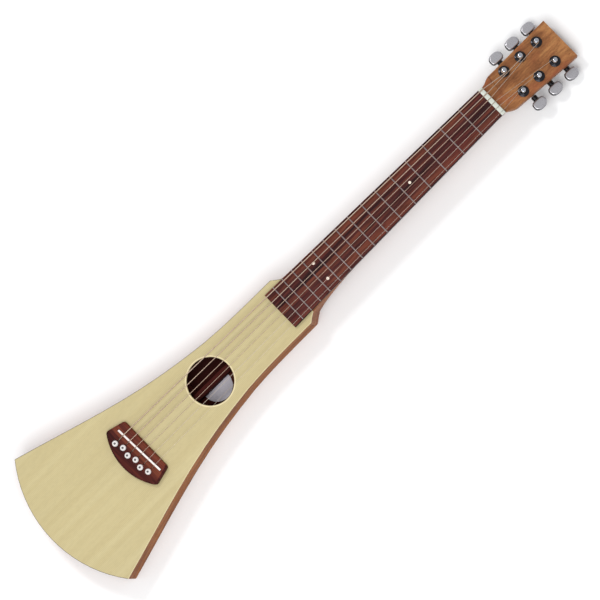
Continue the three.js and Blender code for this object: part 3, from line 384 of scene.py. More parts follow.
bone = cloudy_solid("white_bone", (208, 212, 202), (196, 200, 188), 0.35, 300, 0.1)
saddle_bone = cloudy_solid("saddle_bone", (236, 228, 224), (224, 214, 208), 0.35, 300, 0.1)
white_plastic = cloudy_solid("white_plastic", (236, 232, 230), (224, 220, 216), 0.3, 500, 0.1)
dark_plastic = cloudy_solid("grey_dot", (84, 78, 78), (68, 63, 63), 0.3, 500, 0.1)
pearl = cloudy_solid("pearl_dot", (240, 226, 208), (222, 208, 192), 0.25, 900, 0.2)
paper = cloudy_solid("blank_label_paper", (242, 238, 248), (226, 221, 230), 0.85, 900, 0.0, 0.05)
floor_finish = cloudy_solid("pale_floor", (250, 250, 250), (247, 247, 247), 0.8, 3, 0.0, 0.02)
print("finishes mixed:", len(bpy.data.materials))

# %% [markdown]
# The floor is a plain grid, far wider than the picture.

# %% Lay the floor
floor_shape = bmesh.new()
bmesh.ops.create_grid(floor_shape, x_segments=4, y_segments=4, size=6)
floor = add_object("floor", mesh_of(floor_shape, "floor"))
floor.data.materials.append(floor_finish)

# %% [markdown]
# ## From solid to finished piece
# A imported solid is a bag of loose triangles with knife-sharp edges. A few helpers turn it into something
# a maker would accept. One joins the triangles again and clears the needless edges from flat faces, and
# one rounds edges. The last gives the piece its finish, lets curved faces shade smoothly, and hangs it on
# its moving body. Its Weighted Normal modifier lets the big flat faces rule the shading, so that rounded
# edges don't bend it.

# %% Helpers that take a solid and give back a piece
tolerance = 0.01 * mm


def copy_of(node):
    shape = bmesh.new()
    shape.from_mesh(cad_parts[node].data)
    bmesh.ops.remove_doubles(shape, verts=shape.verts, dist=1e-6)
    bmesh.ops.dissolve_limit(
        shape, angle_limit=math.radians(0.3), use_dissolve_boundaries=False, verts=shape.verts,
        edges=shape.edges, delimit={"NORMAL"},
    )
    return shape


def round_edges(shape, width, segments, wanted):
    """Rounds the edges for which wanted says yes."""
    shape.normal_update()
    edges = [edge for edge in shape.edges if len(edge.link_faces) == 2 and wanted(edge)]
    bmesh.ops.bevel(
        shape, geom=edges, offset=width, offset_type="OFFSET", segments=segments, profile=0.5,
        affect="EDGES", clamp_overlap=True, material=-1,
    )
    return len(edges)


def is_sharp(edge, degrees):
    return edge.calc_face_angle(0) > math.radians(degrees)


def shift(shape, way):
    bmesh.ops.translate(shape, verts=shape.verts, vec=way)


def lay(shape, matrix):
    """Turns and moves a shape that was made at the origin."""
    bmesh.ops.transform(shape, matrix=matrix, verts=shape.verts)


def paint(shape, finish_number):
    """Gives each face one of the piece's finishes, counted from 0. A yes counts as 1."""
    for face in shape.faces:
        face.material_index = int(finish_number(face, face.calc_center_median()))


# %% Make the shape a finished piece
def finish_piece(shape, name, finishes, stands_for=None, body="guitar", smooth=32):
    """Makes a shape an object of the guitar. Edges sharper than smooth, in degrees, stay sharp."""
    shape.normal_update()
    mesh = mesh_of(shape, name)
    for finish in finishes if isinstance(finishes, list) else [finishes]:
        mesh.materials.append(finish)
    mesh.shade_smooth()
    mesh.set_sharp_from_angle(angle=math.radians(smooth))
    piece = add_object(name, mesh)
    flats_stay_flat = piece.modifiers.new("flats_stay_flat", "WEIGHTED_NORMAL")
    flats_stay_flat.keep_sharp = True
    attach(piece, body)
    if stands_for:
        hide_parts(stands_for)


# %% [markdown]
# ## Soundboard
# The soundboard is a 3 mm spruce plate with a round hole, and cross braces glued under it. Its solid
# already has all of that. Only its edges change: the outer rim is eased with fine paper, and the hole's
# rim is rounded and rubbed paler, so that it shows as a thin light ring. The hole is made rounder first.

# %% Refine the soundboard
top_level = 50.8 * mm
hole_middle, hole_radius = Vector((0, -163.585 * mm, 0)), 30.25 * mm


def from_hole(point):
    return (Vector((point.x, point.y, 0)) - hole_middle).length


top_plate = copy_of("soundboard")
rim = [edge for edge in top_plate.edges
       if all(abs(from_hole(v.co) - hole_radius) < 2 * tolerance for v in edge.verts)
       and abs(edge.verts[0].co.z - edge.verts[1].co.z) < tolerance]
bmesh.ops.subdivide_edges(top_plate, edges=rim, cuts=2)
for vertex in top_plate.verts:
    if abs(from_hole(vertex.co) - hole_radius) < 0.2 * mm:
        flat = (Vector((vertex.co.x, vertex.co.y, 0)) - hole_middle).normalized() * hole_radius + hole_middle
        vertex.co.x, vertex.co.y = flat.x, flat.y


def top_rim(edge):
    """Edges round the top face, but not those of the holes for the bridge pins."""
    level = all(abs(v.co.z - top_level) < tolerance for v in edge.verts)
    near_bridge = all(-325 * mm < v.co.y < -265 * mm and abs(v.co.x) < 40 * mm for v in edge.verts)
    return level and not near_bridge and is_sharp(edge, 40)


def around_hole(edge):
    return all(from_hole(v.co) < hole_radius + 0.1 * mm for v in edge.verts)


hole_rounding, rim_rounding = 1.3 * mm, 0.7 * mm
rounded = round_edges(top_plate, hole_rounding, 4, lambda edge: top_rim(edge) and around_hole(edge))
rounded += round_edges(top_plate, rim_rounding, 3, lambda edge: top_rim(edge) and not around_hole(edge))


# Rim faces towards the bass side and the tail get the painted shade; the other rims get the paler cut edge.
def top_finish(face, middle):
    if all(from_hole(v.co) < hole_radius + hole_rounding + 0.2 * mm for v in face.verts):
        return 1
    if face.normal.z >= 0.97:
        return 0
    return 2 if face.normal.x < -0.2 or face.normal.y < -0.2 else 1


paint(top_plate, top_finish)


# %% Rub the wood around the hole
def rub_around_hole(finish, pale, width):
    """Wood that was rubbed around the hole shows paler: a ring, worked out from the distance to it."""
    tree = finish.node_tree
    shader = tree.nodes["Principled BSDF"]
    wood = shader.inputs["Base Color"].links[0].from_socket
    places = {0: spread_over(tree, (1, 1, 0)), 1: hole_middle}
    distance = add_node(tree, "ShaderNodeVectorMath", places, operation="DISTANCE").outputs["Value"]
    share = fading(tree, distance, hole_radius + width, hole_radius + width + 0.6 * mm)
    feed(shader, base_color=mix(tree, share, wood, pale))


for finish in (top_wood, edge_wood):
    rub_around_hole(finish, srgb(222, 206, 162), 1.6 * mm)
finish_piece(top_plate, "spruce_top", [top_wood, edge_wood, painted_shade_rim], "soundboard")
print("rim edges rounded:", rounded)

# %% [markdown]
# ## Back and sides
# The sides are bent mahogany, with linings and a tail block inside, and the back is a flat plate with
# braces. Outside they are finished, and inside they are left raw, as in every guitar. So the faces that
# look into the box get the raw finish, darkened with painted shade, as the inside of the box lies in shade.
# Round the tail, the bent wood's grain runs across the guitar.

# %% Finish outside, raw inside
back_thickness = 3 * mm
box_middle = -160 * mm


def back_edge(edge):
    return all(v.co.z < tolerance for v in edge.verts) and is_sharp(edge, 40)


back_plate = copy_of("back")
rounded = round_edges(back_plate, 0.5 * mm, 2, back_edge)
paint(back_plate, lambda face, middle: middle.z > back_thickness - 0.1 * mm)
finish_piece(back_plate, "mahogany_back", [side_wood, shaded_inside_wood], "back")
print("back edges rounded:", rounded)


def side_finish(face, middle):
    outwards = Vector((middle.x, middle.y - box_middle, 0))
    if abs(face.normal.z) > 0.5 or face.normal.dot(outwards) < 0:
        return 1
    return 2 if face.normal.y < -0.6 else 0


side_shell = copy_of("sides")
paint(side_shell, side_finish)
finish_piece(side_shell, "mahogany_sides", [side_wood, shaded_inside_wood, tail_wood], "sides")

# %% [markdown]
# ## Neck and headstock
# Neck, heel and headstock are carved from one length of mahogany, whose grain runs from end to end. The
# solid is a loft of cross-sections. Smooth shading joins them, and the corners of the headstock's face
# are eased a little, as a maker does before lacquering. Behind the heel the neck runs on inside the box as
# a bar, which nobody lacquers, so it gets the raw finish, darkened with painted shade.

# %% Refine the neck
heel_seam = -24.8 * mm
head_start, head_tilt = Vector((0, 333.67 * mm, top_level)), math.radians(12)
into_head = Matrix.Translation(head_start) @ Matrix.Rotation(-head_tilt, 4, "X")
head_normal = into_head.to_3x3() @ Vector((0, 0, 1))

carving = copy_of("neck")


def head_face_edge(edge):
    """Edges round the headstock's face, but not the short ones round its holes."""
    beyond_nut = all(v.co.y > head_start.y + 0.3 * mm for v in edge.verts)
    on_face = all(abs((v.co - head_start).dot(head_normal)) < 2 * tolerance for v in edge.verts)
    return beyond_nut and on_face and is_sharp(edge, 50) and edge.calc_length() > 2.7 * mm


print("headstock edges eased:", round_edges(carving, 0.5 * mm, 2, head_face_edge))
paint(carving, lambda face, middle: middle.y < heel_seam)
finish_piece(carving, "carved_neck", [neck_wood, shaded_inside_wood], "neck", smooth=38)

# %% [markdown]
# ## Fingerboard and its dots
# The fingerboard is a slightly crowned rosewood board, sawn across for the frets. Its long edges are
# rolled, as hands wear them. Its treble side, its bass wall and its end get painted shade, darker than its
# face. Pearl dots tell the player where the fifth and twelfth places are. Each dot is a round disc let into
# the board: a circle, given some thickness, and then laid on the crown. Places along the board are given
# as stations, which are distances in millimetres from the nut's front edge towards the tail.

# %% Ease and dress the board
board_top, crown_radius = 56.9 * mm, 406 * mm
nut_front = 327.87 * mm


def crown(across):
    """How much lower the board's crown lies at a distance from its middle line."""
    return across ** 2 / (2 * crown_radius)


def y_at(station):
    return nut_front - station * mm


board = copy_of("fingerboard")


def board_edge(edge):
    on_top = all(v.co.z > board_top - crown(v.co.x) - 0.05 * mm for v in edge.verts)
    lengthwise = abs(edge.verts[0].co.y - edge.verts[1].co.y) > 3 * mm
    return on_top and lengthwise and is_sharp(edge, 50)


print("board edges eased:", round_edges(board, 1.0 * mm, 4, board_edge))
board.normal_update()
# Painted shade: faces towards the treble side, the bass wall and the end get the darker rosewood.
paint(board, lambda face, middle: face.normal.x > 0.15 or face.normal.x < -0.8 or face.normal.y < -0.5)
finish_piece(board, "rosewood_fingerboard", [board_wood, board_edge_painted_shade], "fingerboard")


# %% Let in the dots
def give_thickness(shape, depth):
    """Makes a flat shape a slab that reaches up by depth."""
    grown = bmesh.ops.extrude_face_region(shape, geom=shape.faces[:])
    lifted = [v for v in grown["geom"] if isinstance(v, bmesh.types.BMVert)]
    bmesh.ops.translate(shape, verts=lifted, vec=(0, 0, depth))
    bmesh.ops.recalc_face_normals(shape, faces=shape.faces)


def inlay_dot(name, across, station, radius=1.9 * mm, depth=0.3 * mm):
    dot = bmesh.new()
    bmesh.ops.create_circle(dot, cap_ends=True, segments=40, radius=radius)
    give_thickness(dot, depth)
    shift(dot, (across, y_at(station), 0))
    for vertex in dot.verts:
        vertex.co.z += board_top - crown(vertex.co.x) + 0.02 * mm - depth
    finish_piece(dot, name, pearl)


inlay_dot("dot_fifth_fret", 0, 140.0)
inlay_dot("dot_twelfth_fret_bass", -13 * mm, 296.0)
inlay_dot("dot_twelfth_fret_treble", 13 * mm, 296.0)

# %% [markdown]
# ## Frets
# Fret wire is drawn nickel silver with a rounded crown and a thin tang that is pressed into the saw cut.
# It could be an extruded profile, but real wire is bent to the board's radius, so the profile is spun
# about the centre of that radius.

# %% Bend a fret over the board
scale_length, fret_count = 609.6, 15
fret_half_width, fret_height, fret_foot = 1.05 * mm, 1.0 * mm, 0.05 * mm
tang_half_width, tang_depth = 0.3 * mm, 1.8 * mm


def fret_station(number):
    """Every twelfth fret halves the string that is left."""
    return scale_length * (1 - 2 ** (-number / 12))


def bend_fret(number):
    station = fret_station(number)
    node = f"fret_{number:02d}"
    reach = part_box(node)[1][0]
    sweep = math.asin(reach / crown_radius)
    fret = bmesh.new()
    crown_steps = 10
    outline = [(fret_half_width * math.cos(a), fret_foot + (fret_height - fret_foot) * math.sin(a))
               for a in (math.pi * i / crown_steps for i in range(crown_steps + 1))]
    outline += [(-tang_half_width, fret_foot), (-tang_half_width, -tang_depth),
                (tang_half_width, -tang_depth), (tang_half_width, fret_foot)]
    corners = [fret.verts.new((0, y_at(station) + across, board_top + up)) for across, up in outline]
    profile = fret.faces.new(corners)
    centre = (0, y_at(station), board_top - crown_radius)
    bmesh.ops.rotate(fret, verts=fret.verts, cent=centre, matrix=Matrix.Rotation(-sweep, 3, "Y"))
    bmesh.ops.spin(
        fret, geom=[profile] + profile.edges[:] + corners, cent=centre, axis=(0, 1, 0), dvec=(0, 0, 0),
        angle=2 * sweep, steps=8, use_merge=False, use_normal_flip=False, use_duplicate=False,
    )
    bmesh.ops.recalc_face_normals(fret, faces=fret.faces)
    finish_piece(fret, f"bent_fret_{number:02d}", fret_metal, node)


for number in range(1, fret_count + 1):
    bend_fret(number)
print("frets bent:", fret_count)

# %% [markdown]
# ## Nut, saddle, bridge and bridge plate
# These come from their solids. The nut and the saddle are polished bone whose edges are rounded over, so
# that strings and hands slide on them. The bridge keeps its bevel, and the slopes towards the tail and the
# treble side get a deeper red of painted shade. The plate under the soundboard is never seen, so it only
# gets its wood.

# %% Round the nut and the saddle
for node, name, finish, width in (
    ("nut", "bone_nut", bone, 0.25 * mm),
    ("saddle", "bone_saddle", saddle_bone, 0.6 * mm),
):
    part = copy_of(node)
    top = max(v.co.z for v in part.verts)

    def upper_edge(edge):
        near_top = all(v.co.z > top - 1.6 * mm for v in edge.verts)
        return near_top and edge.calc_length() > 2.0 * mm and is_sharp(edge, 50)

    print(name, "edges rounded:", round_edges(part, width, 3, upper_edge))
    finish_piece(part, name, finish, node, smooth=30)

# %% Dress the bridge and its plate
bridge = copy_of("bridge")
bridge.normal_update()
# Painted shade: faces sloping towards the tail or the treble side get the deeper red.
paint(bridge, lambda face, middle: face.normal.y < -0.05 or face.normal.x > 0.05)
finish_piece(bridge, "rosewood_bridge", [bridge_wood, bridge_slope_painted_shade], "bridge", smooth=30)
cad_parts["bridge_plate"].material_slots[0].material = plate_wood

# %% [markdown]
# ## Bridge pins
# A bridge pin is turned plastic: a tapered shank that wedges the string's ball under the plate, and a
# round head with a dark dot in its top. A turned piece is what spin is for: half of its outline is drawn
# once and spun round the axis. The same helper turns the metal parts of the machine heads.

# %% Turn the pins
def spin_outline(outline, steps, closed=False):
    """A turned solid about Z from pairs of radius and level, in millimetres."""
    turned = bmesh.new()
    points = [turned.verts.new((radius * mm, 0, level * mm)) for radius, level in outline]
    pairs = list(zip(points, points[1:])) + ([(points[-1], points[0])] if closed else [])
    edges = [turned.edges.new(pair) for pair in pairs]
    bmesh.ops.spin(
        turned, geom=points + edges, cent=(0, 0, 0), axis=(0, 0, 1), dvec=(0, 0, 0),
        angle=2 * math.pi, steps=steps, use_merge=True, use_normal_flip=False, use_duplicate=False,
    )
    bmesh.ops.remove_doubles(turned, verts=turned.verts, dist=1e-7)
    bmesh.ops.recalc_face_normals(turned, faces=turned.faces)
    return turned


pin_radius, pin_head_radius, pin_head_height = 2.7, 3.9, 4.2
string_count = 6
pin_outline = [
    (0, -20), (1.7, -20), (2.0, -19.7), (pin_radius, 0), (3.35, 0), (3.72, 0.25), (pin_head_radius, 0.8),
    (3.88, 1.3), (3.72, 1.95), (3.4, 2.6), (2.85, 3.25), (2.2, 3.72), (1.6, 3.98), (1.5, 3.96), (1.1, 4.1),
    (0.6, 4.18), (0, pin_head_height),
]
for number in range(1, string_count + 1):
    low, high = (Vector(corner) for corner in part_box(f"bridge_pin_{number}"))
    pin = spin_outline(pin_outline, 36)
    paint(pin, lambda face, middle: math.hypot(middle.x, middle.y) < 1.55 * mm and middle.z > 3.5 * mm)
    shift(pin, ((low.x + high.x) / 2, (low.y + high.y) / 2, high.z - pin_head_height * mm))
    finish_piece(pin, f"turned_pin_{number}", [white_plastic, dark_plastic],
                 f"bridge_pin_{number}", smooth=40)
print("pins turned:", string_count)

# %% [markdown]
# ## Strings
# Each string comes off its post in a few turns, bends over the nut and the saddle, and drops through the
# bridge to a small ball under the plate. Its route is that of the solid, from the same measures. They are
# in millimetres, as a string maker would give them.

# %% Places of the machine heads
gauges = [0.305, 0.406, 0.61, 0.813, 1.067, 1.346]
post_start, post_pitch = 33.7, 27.3
first_post_spread, last_post_spread = 34.6, 33.4


class MachineHead:
    """Where one machine head stands, counted from the treble side. Its rows count up from the nut."""

    def __init__(self, index):
        self.index, self.number, self.gauge = index, index + 1, gauges[index]
        self.side = 1 if index < string_count / 2 else -1
        self.row = min(index, string_count - 1 - index)
        spread = first_post_spread + (last_post_spread - first_post_spread) * self.row / 2
        self.half, self.along = self.side * spread / 2, post_start + self.row * post_pitch
        self.place = into_head @ Matrix.Translation((self.half * mm, self.along * mm, 0))


machine_heads = [MachineHead(index) for index in range(string_count)]
print("machine heads placed:", len(machine_heads))

# %% The route of a string
nut_spread, saddle_spread = 36.5, 54.3
fret_top, nut_clearance, nut_back = 57.9, 0.5, 6.1
saddle_middle, saddle_skew, saddle_length, saddle_half_thickness, saddle_top = 614.2, 3.6, 72.8, 1.2, 62.1
pin_setback, pin_stagger = 11.8, 3
bridge_top, ramp_lead, ramp_dip = 59.1, 0.8, 1.7
string_play, ball_level = 0.2, 42.9
post_waist, wrap_play, wrap_pitch_play = 2.2, 0.25, 0.15
wrap_turns, wrap_steps_per_turn = 1.6, 24
leave_levels = [4.5, 5.4, 5.4]


def spread_at(width, index):
    return width * (0.5 - index / (string_count - 1))


def wraps_round_post(head, nut_half):
    """The turns round the post, from the wire's end to the place where it leaves for the nut."""
    nut_point = into_head.inverted() @ (head_start + Vector((nut_half * mm, 0, 0))) / mm
    radius = post_waist + wrap_play + head.gauge / 2
    reach = Vector((nut_point.x - head.half, nut_point.y - head.along))
    leave = math.atan2(reach.y, reach.x) - head.side * math.acos(radius / reach.length)
    steps = round(wrap_turns * wrap_steps_per_turn)
    points = []
    for turned in (wrap_turns * (1 - i / steps) for i in range(steps + 1)):
        angle = leave - head.side * turned * 2 * math.pi
        rise = turned * (head.gauge + wrap_pitch_play)
        local = Vector((head.half + radius * math.cos(angle), head.along + radius * math.sin(angle),
                        leave_levels[head.row] + rise))
        points.append(into_head @ (local * mm) / mm)
    return points


def string_route(head):
    nut_half, saddle_half = spread_at(nut_spread, head.index), spread_at(saddle_spread, head.index)
    nut_y = nut_front / mm
    level = fret_top + nut_clearance + head.gauge / 2 - crown(nut_half * mm) / mm
    points = wraps_round_post(head, nut_half)
    fall = (level - points[-1].z) / (points[-1].y - nut_y)
    points.append(Vector((nut_half, nut_y + nut_back, level - fall * nut_back)))
    points.append(Vector((nut_half, nut_y, level)))
    saddle = saddle_middle - saddle_skew * saddle_half / saddle_length
    crest = saddle_top - crown(saddle_half * mm) / mm + string_play + head.gauge / 2
    pin = saddle + pin_setback + pin_stagger * (head.index % 2)
    ramp_level = bridge_top - ramp_dip
    drop = pin - pin_radius - string_play - head.gauge / 2
    bends = [(saddle - saddle_half_thickness, crest), (saddle + saddle_half_thickness, crest),
             (pin - pin_head_radius - ramp_lead, ramp_level), (drop, ramp_level - ramp_dip),
             (drop, ball_level)]
    points += [Vector((saddle_half, nut_y - station, up)) for station, up in bends]
    return [point * mm for point in points]


# %% [markdown]
# The tube is made by extruding a small ring of edges from point to point. A ring that is only moved would
# lie flat where the string turns, so at each point it is also turned by the angle between the old direction
# and the new one. Each ring remembers how far along it is, so that the bronze winding of the four thick
# strings can be drawn at its real pitch.

# %% Draw a wire along its route
def ring_in_order(ring, edges):
    """A ring's corners in walking order, to cap the end."""
    edge_set, walk = set(edges), [ring[0]]
    while len(walk) < len(ring):
        neighbours = [e.other_vert(walk[-1]) for e in walk[-1].link_edges if e in edge_set]
        walk.append(next(v for v in neighbours if v not in walk))
    return walk


def draw_wire(points, radius, sides=12):
    """A closed tube along the points, and its length."""
    wire = bmesh.new()
    layer = wire.verts.layers.float.new("along")
    directions = [(b - a).normalized() for a, b in zip(points, points[1:])]
    bends = [(a + b).normalized() for a, b in zip(directions, directions[1:])]
    facing = [directions[0]] + bends + [directions[-1]]
    ring = bmesh.ops.create_circle(wire, cap_ends=True, segments=sides, radius=radius)["verts"]
    turn = Vector((0, 0, 1)).rotation_difference(facing[0]).to_matrix()
    bmesh.ops.rotate(wire, verts=ring, cent=(0, 0, 0), matrix=turn)
    bmesh.ops.translate(wire, verts=ring, vec=points[0])
    edges = wire.edges[:]
    travelled = 0.0
    for before, here, old, new in zip(points, points[1:], facing, facing[1:]):
        grown = bmesh.ops.extrude_edge_only(wire, edges=edges)["geom"]
        ring = [part for part in grown if isinstance(part, bmesh.types.BMVert)]
        edges = [part for part in grown if isinstance(part, bmesh.types.BMEdge)]
        bmesh.ops.rotate(wire, verts=ring, cent=before, matrix=old.rotation_difference(new).to_matrix())
        bmesh.ops.translate(wire, verts=ring, vec=here - before)
        travelled += (here - before).length
        for vertex in ring:
            vertex[layer] = travelled
    wire.faces.new(ring_in_order(ring, edges))
    bmesh.ops.recalc_face_normals(wire, faces=wire.faces)
    return wire, travelled


# %% Draw the six strings with their balls
ball_radius, ball_length = 2, 3.2
for head in machine_heads:
    wire, length = draw_wire(string_route(head), head.gauge / 2 * mm)
    ball = bmesh.ops.create_cone(wire, cap_ends=True, segments=20, radius1=ball_radius * mm,
                                 radius2=ball_radius * mm, depth=ball_length * mm)["verts"]
    bmesh.ops.rotate(wire, verts=ball, cent=(0, 0, 0), matrix=Matrix.Rotation(math.pi / 2, 3, "Y"))
    string_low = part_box(f"string_{head.number}")[0]
    pin_low, pin_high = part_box(f"bridge_pin_{head.number}")
    before_pin = (pin_low[1] + pin_high[1]) / 2 + (pin_radius + ball_radius) * mm
    middle = (spread_at(saddle_spread, head.index) * mm, before_pin, string_low[2] + ball_radius * mm)
    bmesh.ops.translate(wire, verts=ball, vec=middle)
    plain = head.index < 2
    finish_piece(wire, f"wire_string_{head.number}", steel_wire if plain else bronze_wire,
                 f"string_{head.number}", smooth=50)
    print("string", head.number, "length in mm:", round(length / mm))

# %% [markdown]
# ## Machine heads
# A machine head is a small worm gear. The key's shaft carries the worm, inside a cast housing screwed to
# the back of the headstock, and turns a wheel on the foot of the post, which comes up through a bushing
# with a hexagonal collar. Each of these is turned, cast or pressed metal, so spin, extrude and bevel make
# them. The gear teeth stay those of the solids, because they have to mesh.

# %% Bushings
def ring_of(inner, outer, steps=48):
    """A turned ring, from the outline of its bore and that of its outside."""
    return spin_outline(outer + inner, steps, closed=True)


def join_on(shape, other):
    """Adds the other shape to this one, and lets go of it."""
    carrier = mesh_of(other, "carrier")
    shape.from_mesh(carrier)
    bpy.data.meshes.remove(carrier)


def press_hexagon(shape, inside=4.4 * mm, corner_reach=6.2 * mm):
    """Pushes the outside of a turned collar to a hexagon with rounded corners."""
    for vertex in shape.verts:
        flat = Vector((vertex.co.x, vertex.co.y, 0))
        if flat.length > inside:
            angle = math.atan2(flat.y, flat.x) % (math.pi / 3) - math.pi / 6
            flat = flat.normalized() * min(flat.length / math.cos(angle), corner_reach)
            vertex.co.x, vertex.co.y = flat.x, flat.y


def make_bushing(head):
    washer = ring_of([(3.4, -10), (3.4, 1.7)], [
        (4.6, 1.7), (6.4, 1.3), (6.9, 1.1), (7.2, 0.75), (7.2, 0.4), (7.1, 0.3), (4.0, 0.3), (4.0, -10)])
    collar = ring_of([(3.4, 1.5), (3.4, 2.8), (3.6, 3.0)], [
        (4.0, 3.0), (5.0, 2.75), (5.35, 2.5), (5.5, 2.2), (5.5, 1.5)])
    press_hexagon(collar)
    join_on(washer, collar)
    lay(washer, head.place)
    finish_piece(washer, f"turned_bushing_{head.number}", chrome_painted_dark,
                 f"tuner_{head.number}_bushing", smooth=28)


for head in machine_heads:
    make_bushing(head)
print("bushings turned:", len(machine_heads))

# %% [markdown]
# The post's top is turned with a waist, and drilled across for the string's end. The hole is a boolean
# cut that is applied at once. The foot with the gear wheel is taken from the solid, below a cutting plane
# that lies inside the bushing, where nobody sees the joint.

# %% Posts
def drill(shape, cutter):
    """Cuts one closed mesh out of another."""
    blank = add_object("drilled", mesh_of(shape, "drilled"))
    bit = add_object("drill_bit", mesh_of(cutter, "drill_bit"))
    cut = blank.modifiers.new("cut", "BOOLEAN")
    cut.operation, cut.object, cut.solver = "DIFFERENCE", bit, "EXACT"
    drilled = bpy.data.meshes.new_from_object(blank.evaluated_get(bpy.context.evaluated_depsgraph_get()))
    result = bmesh.new()
    result.from_mesh(drilled)
    for thing in (blank, bit):
        mesh = thing.data
        bpy.data.objects.remove(thing)
        bpy.data.meshes.remove(mesh)
    bpy.data.meshes.remove(drilled)
    return result


def cut_away(shape, place, direction):
    """Takes off what lies beyond a plane, and closes the cut."""
    bmesh.ops.bisect_plane(
        shape, geom=shape.verts[:] + shape.edges[:] + shape.faces[:], dist=1e-7,
        plane_co=place, plane_no=direction, clear_outer=True,
    )
    bmesh.ops.holes_fill(shape, edges=[edge for edge in shape.edges if edge.is_boundary], sides=0)


joint_level, hole_level, bit_radius = -2, 8, 0.9 * mm
post_outline = [(0, joint_level), (3, joint_level), (3, 2.6), (2.85, 2.95), (2.3, 3.45), (post_waist, 3.7),
                (post_waist, 8.9), (2.3, 9.2), (2.85, 9.65), (3, 10.0), (2.9, 10.4), (2.55, 10.75),
                (2.1, 10.93), (1.2, 11), (0, 11)]


def make_post(head):
    bit = bmesh.new()
    bmesh.ops.create_cone(bit, cap_ends=True, segments=16, radius1=bit_radius, radius2=bit_radius,
                          depth=8 * mm)
    lay(bit, Matrix.Rotation(math.pi / 2, 4, "X"))
    shift(bit, (0, 0, hole_level * mm))
    post = drill(spin_outline(post_outline, 40), bit)
    lay(post, head.place)
    foot = copy_of(f"tuner_{head.number}_post")
    cut_away(foot, head.place @ Vector((0, 0, joint_level * mm)), head_normal)
    join_on(post, foot)
    finish_piece(post, f"drilled_post_{head.number}", post_chrome,
                 f"tuner_{head.number}_post", body=f"post_{head.number}", smooth=35)


for head in machine_heads:
    make_post(head)
print("posts drilled:", len(machine_heads))

# %% [markdown]
# The button is cast. It starts as a flat round, which is pressed to the outline of the real one: straight
# towards the headstock and full on the outside. It gets its thickness and a bevel on both faces, and its
# walls get a darker chrome of painted shade, which reaches farther onto the bevel on the tail-ward side.

# %% Cast a button
button_half_width, button_half_length, button_thickness = 6.8, 9.5, 7.6
shaft_ahead, shaft_level = 7.5, -20.2


def press_button(shape, side):
    """Pushes a round outline to a full oval that is nearly straight towards the headstock."""
    for vertex in shape.verts:
        across, along = vertex.co.x, vertex.co.y
        fullness = 2 / 3.4 if across * side < 0 else 2 / 2.3
        vertex.co.x = math.copysign(abs(across) ** fullness, across) * button_half_width * mm
        vertex.co.y = math.copysign(abs(along) ** fullness, along) * button_half_length * mm


def cast_button(side, middle):
    """A button on the shaft's axis, with its middle that far from the post's."""
    button = bmesh.new()
    bmesh.ops.create_circle(button, cap_ends=True, segments=64, radius=1)
    press_button(button, side)
    give_thickness(button, button_thickness * mm)
    shift(button, (0, 0, -button_thickness / 2 * mm))
    round_edges(button, 2.1 * mm, 6, lambda edge: is_sharp(edge, 60))
    button.normal_update()
    # Painted shade: the button's walls get the darker chrome, more of the bevel on the tail-ward side.
    paint(button, lambda face, place: abs(face.normal.z) < (0.86 if face.normal.y < -0.3 else 0.5))
    shift(button, Vector((side * middle, shaft_ahead, shaft_level)) * mm)
    return button


# %% [markdown]
# The shaft and its collar are turned, and laid along the shaft's axis. The worm is the solid's, cut off
# inside the housing. Button, shaft and worm turn as one piece, so they are joined and ride on one body.

# %% Keys
button_middle, shaft_radius = 39.85, 1.45
collar_start, collar_radius, collar_face_radius = 14.45, 3.9, 3.6
worm_end = 8 * mm


def along_shaft(side):
    """Lays a piece that was turned about Z on the shaft's axis, pointing outwards."""
    lay_down = Matrix.Rotation(side * math.pi / 2, 4, "Y")
    return Matrix.Translation((0, shaft_ahead * mm, shaft_level * mm)) @ lay_down


def make_key(head):
    middle = button_middle - abs(head.half)
    key = cast_button(head.side, middle)
    collar_end = middle - button_half_width - 0.15
    stem = spin_outline([
        (0, 0), (shaft_radius, 0), (shaft_radius, collar_start), (collar_face_radius, collar_start),
        (collar_radius, collar_start + 0.3), (collar_radius, collar_end - 0.3),
        (collar_face_radius, collar_end), (2.6, collar_end), (2.7, middle - 3), (0, middle - 3)], 32)
    # Painted shade: the collar gets the darker chrome.
    paint(stem, lambda face, place: place.z > (collar_start - 0.05) * mm)
    lay(stem, along_shaft(head.side))
    join_on(key, stem)
    lay(key, head.place)
    worm = copy_of(f"tuner_{head.number}_key")
    cut_away(worm, head.place @ Vector((head.side * worm_end, 0, 0)), (head.side, 0, 0))
    join_on(key, worm)
    finish_piece(key, f"cast_key_{head.number}", [satin_chrome, chrome_painted_shade],
                 f"tuner_{head.number}_key", body=f"key_{head.number}", smooth=35)


for head in machine_heads:
    make_key(head)
print("keys cast:", len(machine_heads))

# %% [markdown]
# The housing's solid is right as it is, but a casting has soft corners, so all its long sharp edges are
# rounded, and a sleeve in a darker chrome of painted shade is pressed over its collar. One small screw holds
# its lug to the back of the headstock: a domed head with a cross cut.

# %% Housings and their screws
housing_back_level = -24.0
sleeve_bore, sleeve_start, sleeve_end = 2.7, 10.4, 14.2
screw_place = Vector((0, -9.3, -16.4)) * mm
screw_outline = [(0, 1.2), (0.9, 1.2), (0.9, 0), (2.1, 0), (2.15, -0.2), (1.9, -0.75), (1.2, -1.15),
                 (0, -1.3)]


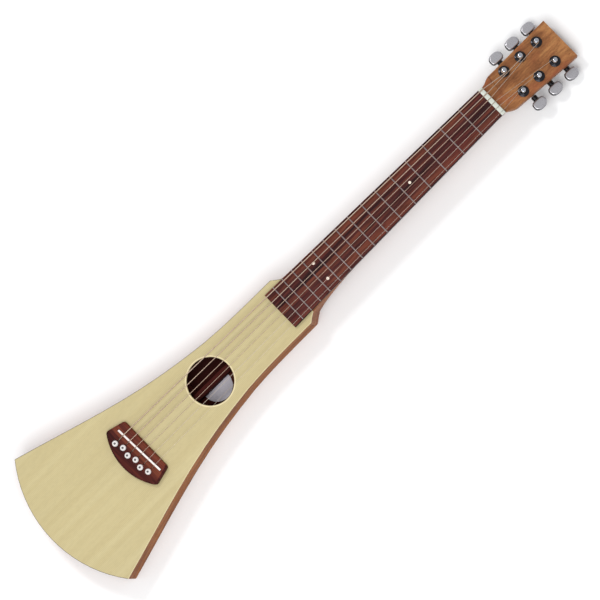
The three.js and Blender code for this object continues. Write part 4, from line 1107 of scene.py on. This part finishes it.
def make_housing(head):
    housing = copy_of(f"tuner_{head.number}_housing")

    def back_corner(edge):
        levels = [(head.place.inverted() @ v.co).z / mm for v in edge.verts]
        return max(levels) < housing_back_level and edge.calc_length() > 1.2 * mm and is_sharp(edge, 40)

    round_edges(housing, 0.6 * mm, 3, back_corner)
    sleeve = ring_of([(sleeve_bore, sleeve_start), (sleeve_bore, sleeve_end)], [
        (collar_face_radius, sleeve_end), (collar_radius, sleeve_end - 0.3),
        (collar_radius, sleeve_start + 0.3), (collar_face_radius, sleeve_start)], 32)
    # Painted shade: the sleeve gets the darker chrome.
    paint(sleeve, lambda face, middle: 1)
    lay(sleeve, head.place @ along_shaft(head.side))
    join_on(housing, sleeve)
    finish_piece(housing, f"cast_housing_{head.number}", [satin_chrome, chrome_painted_shade],
                 f"tuner_{head.number}_housing", smooth=35)


def make_screw(head):
    screw = spin_outline(screw_outline, 28)
    for angle in (0, math.pi / 2):
        slit = bmesh.new()
        bmesh.ops.create_cube(slit, size=1)
        bmesh.ops.scale(slit, verts=slit.verts, vec=(2.4 * mm, 0.45 * mm, 1.2 * mm))
        lay(slit, Matrix.Rotation(angle + 0.4, 4, "Z"))
        shift(slit, (0, 0, -1.3 * mm))
        screw = drill(screw, slit)
    lay(screw, head.place @ Matrix.Translation(screw_place))
    finish_piece(screw, f"housing_screw_{head.number}", screw_metal, smooth=30)


for head in machine_heads:
    make_housing(head)
    make_screw(head)
print("housings and screws made:", len(machine_heads))

# %% [markdown]
# ## The label inside
# Through the sound hole a round paper label shows on the back, on the treble side of the bar. It is a
# blank disc with a hair's thickness, cut off straight beyond the bar, so that it doesn't show again there.

# %% Lay the blank label
label_radius, paper_thickness, label_cut = 20 * mm, 0.15 * mm, -7 * mm
label_middle = Vector((3 * mm, -166.7 * mm, back_thickness + 0.02 * mm))
label = bmesh.new()
bmesh.ops.create_circle(label, cap_ends=True, segments=64, radius=label_radius)
give_thickness(label, paper_thickness)
shift(label, label_middle)
cut_away(label, (label_cut, 0, 0), (-1, 0, 0))
finish_piece(label, "blank_label", paper)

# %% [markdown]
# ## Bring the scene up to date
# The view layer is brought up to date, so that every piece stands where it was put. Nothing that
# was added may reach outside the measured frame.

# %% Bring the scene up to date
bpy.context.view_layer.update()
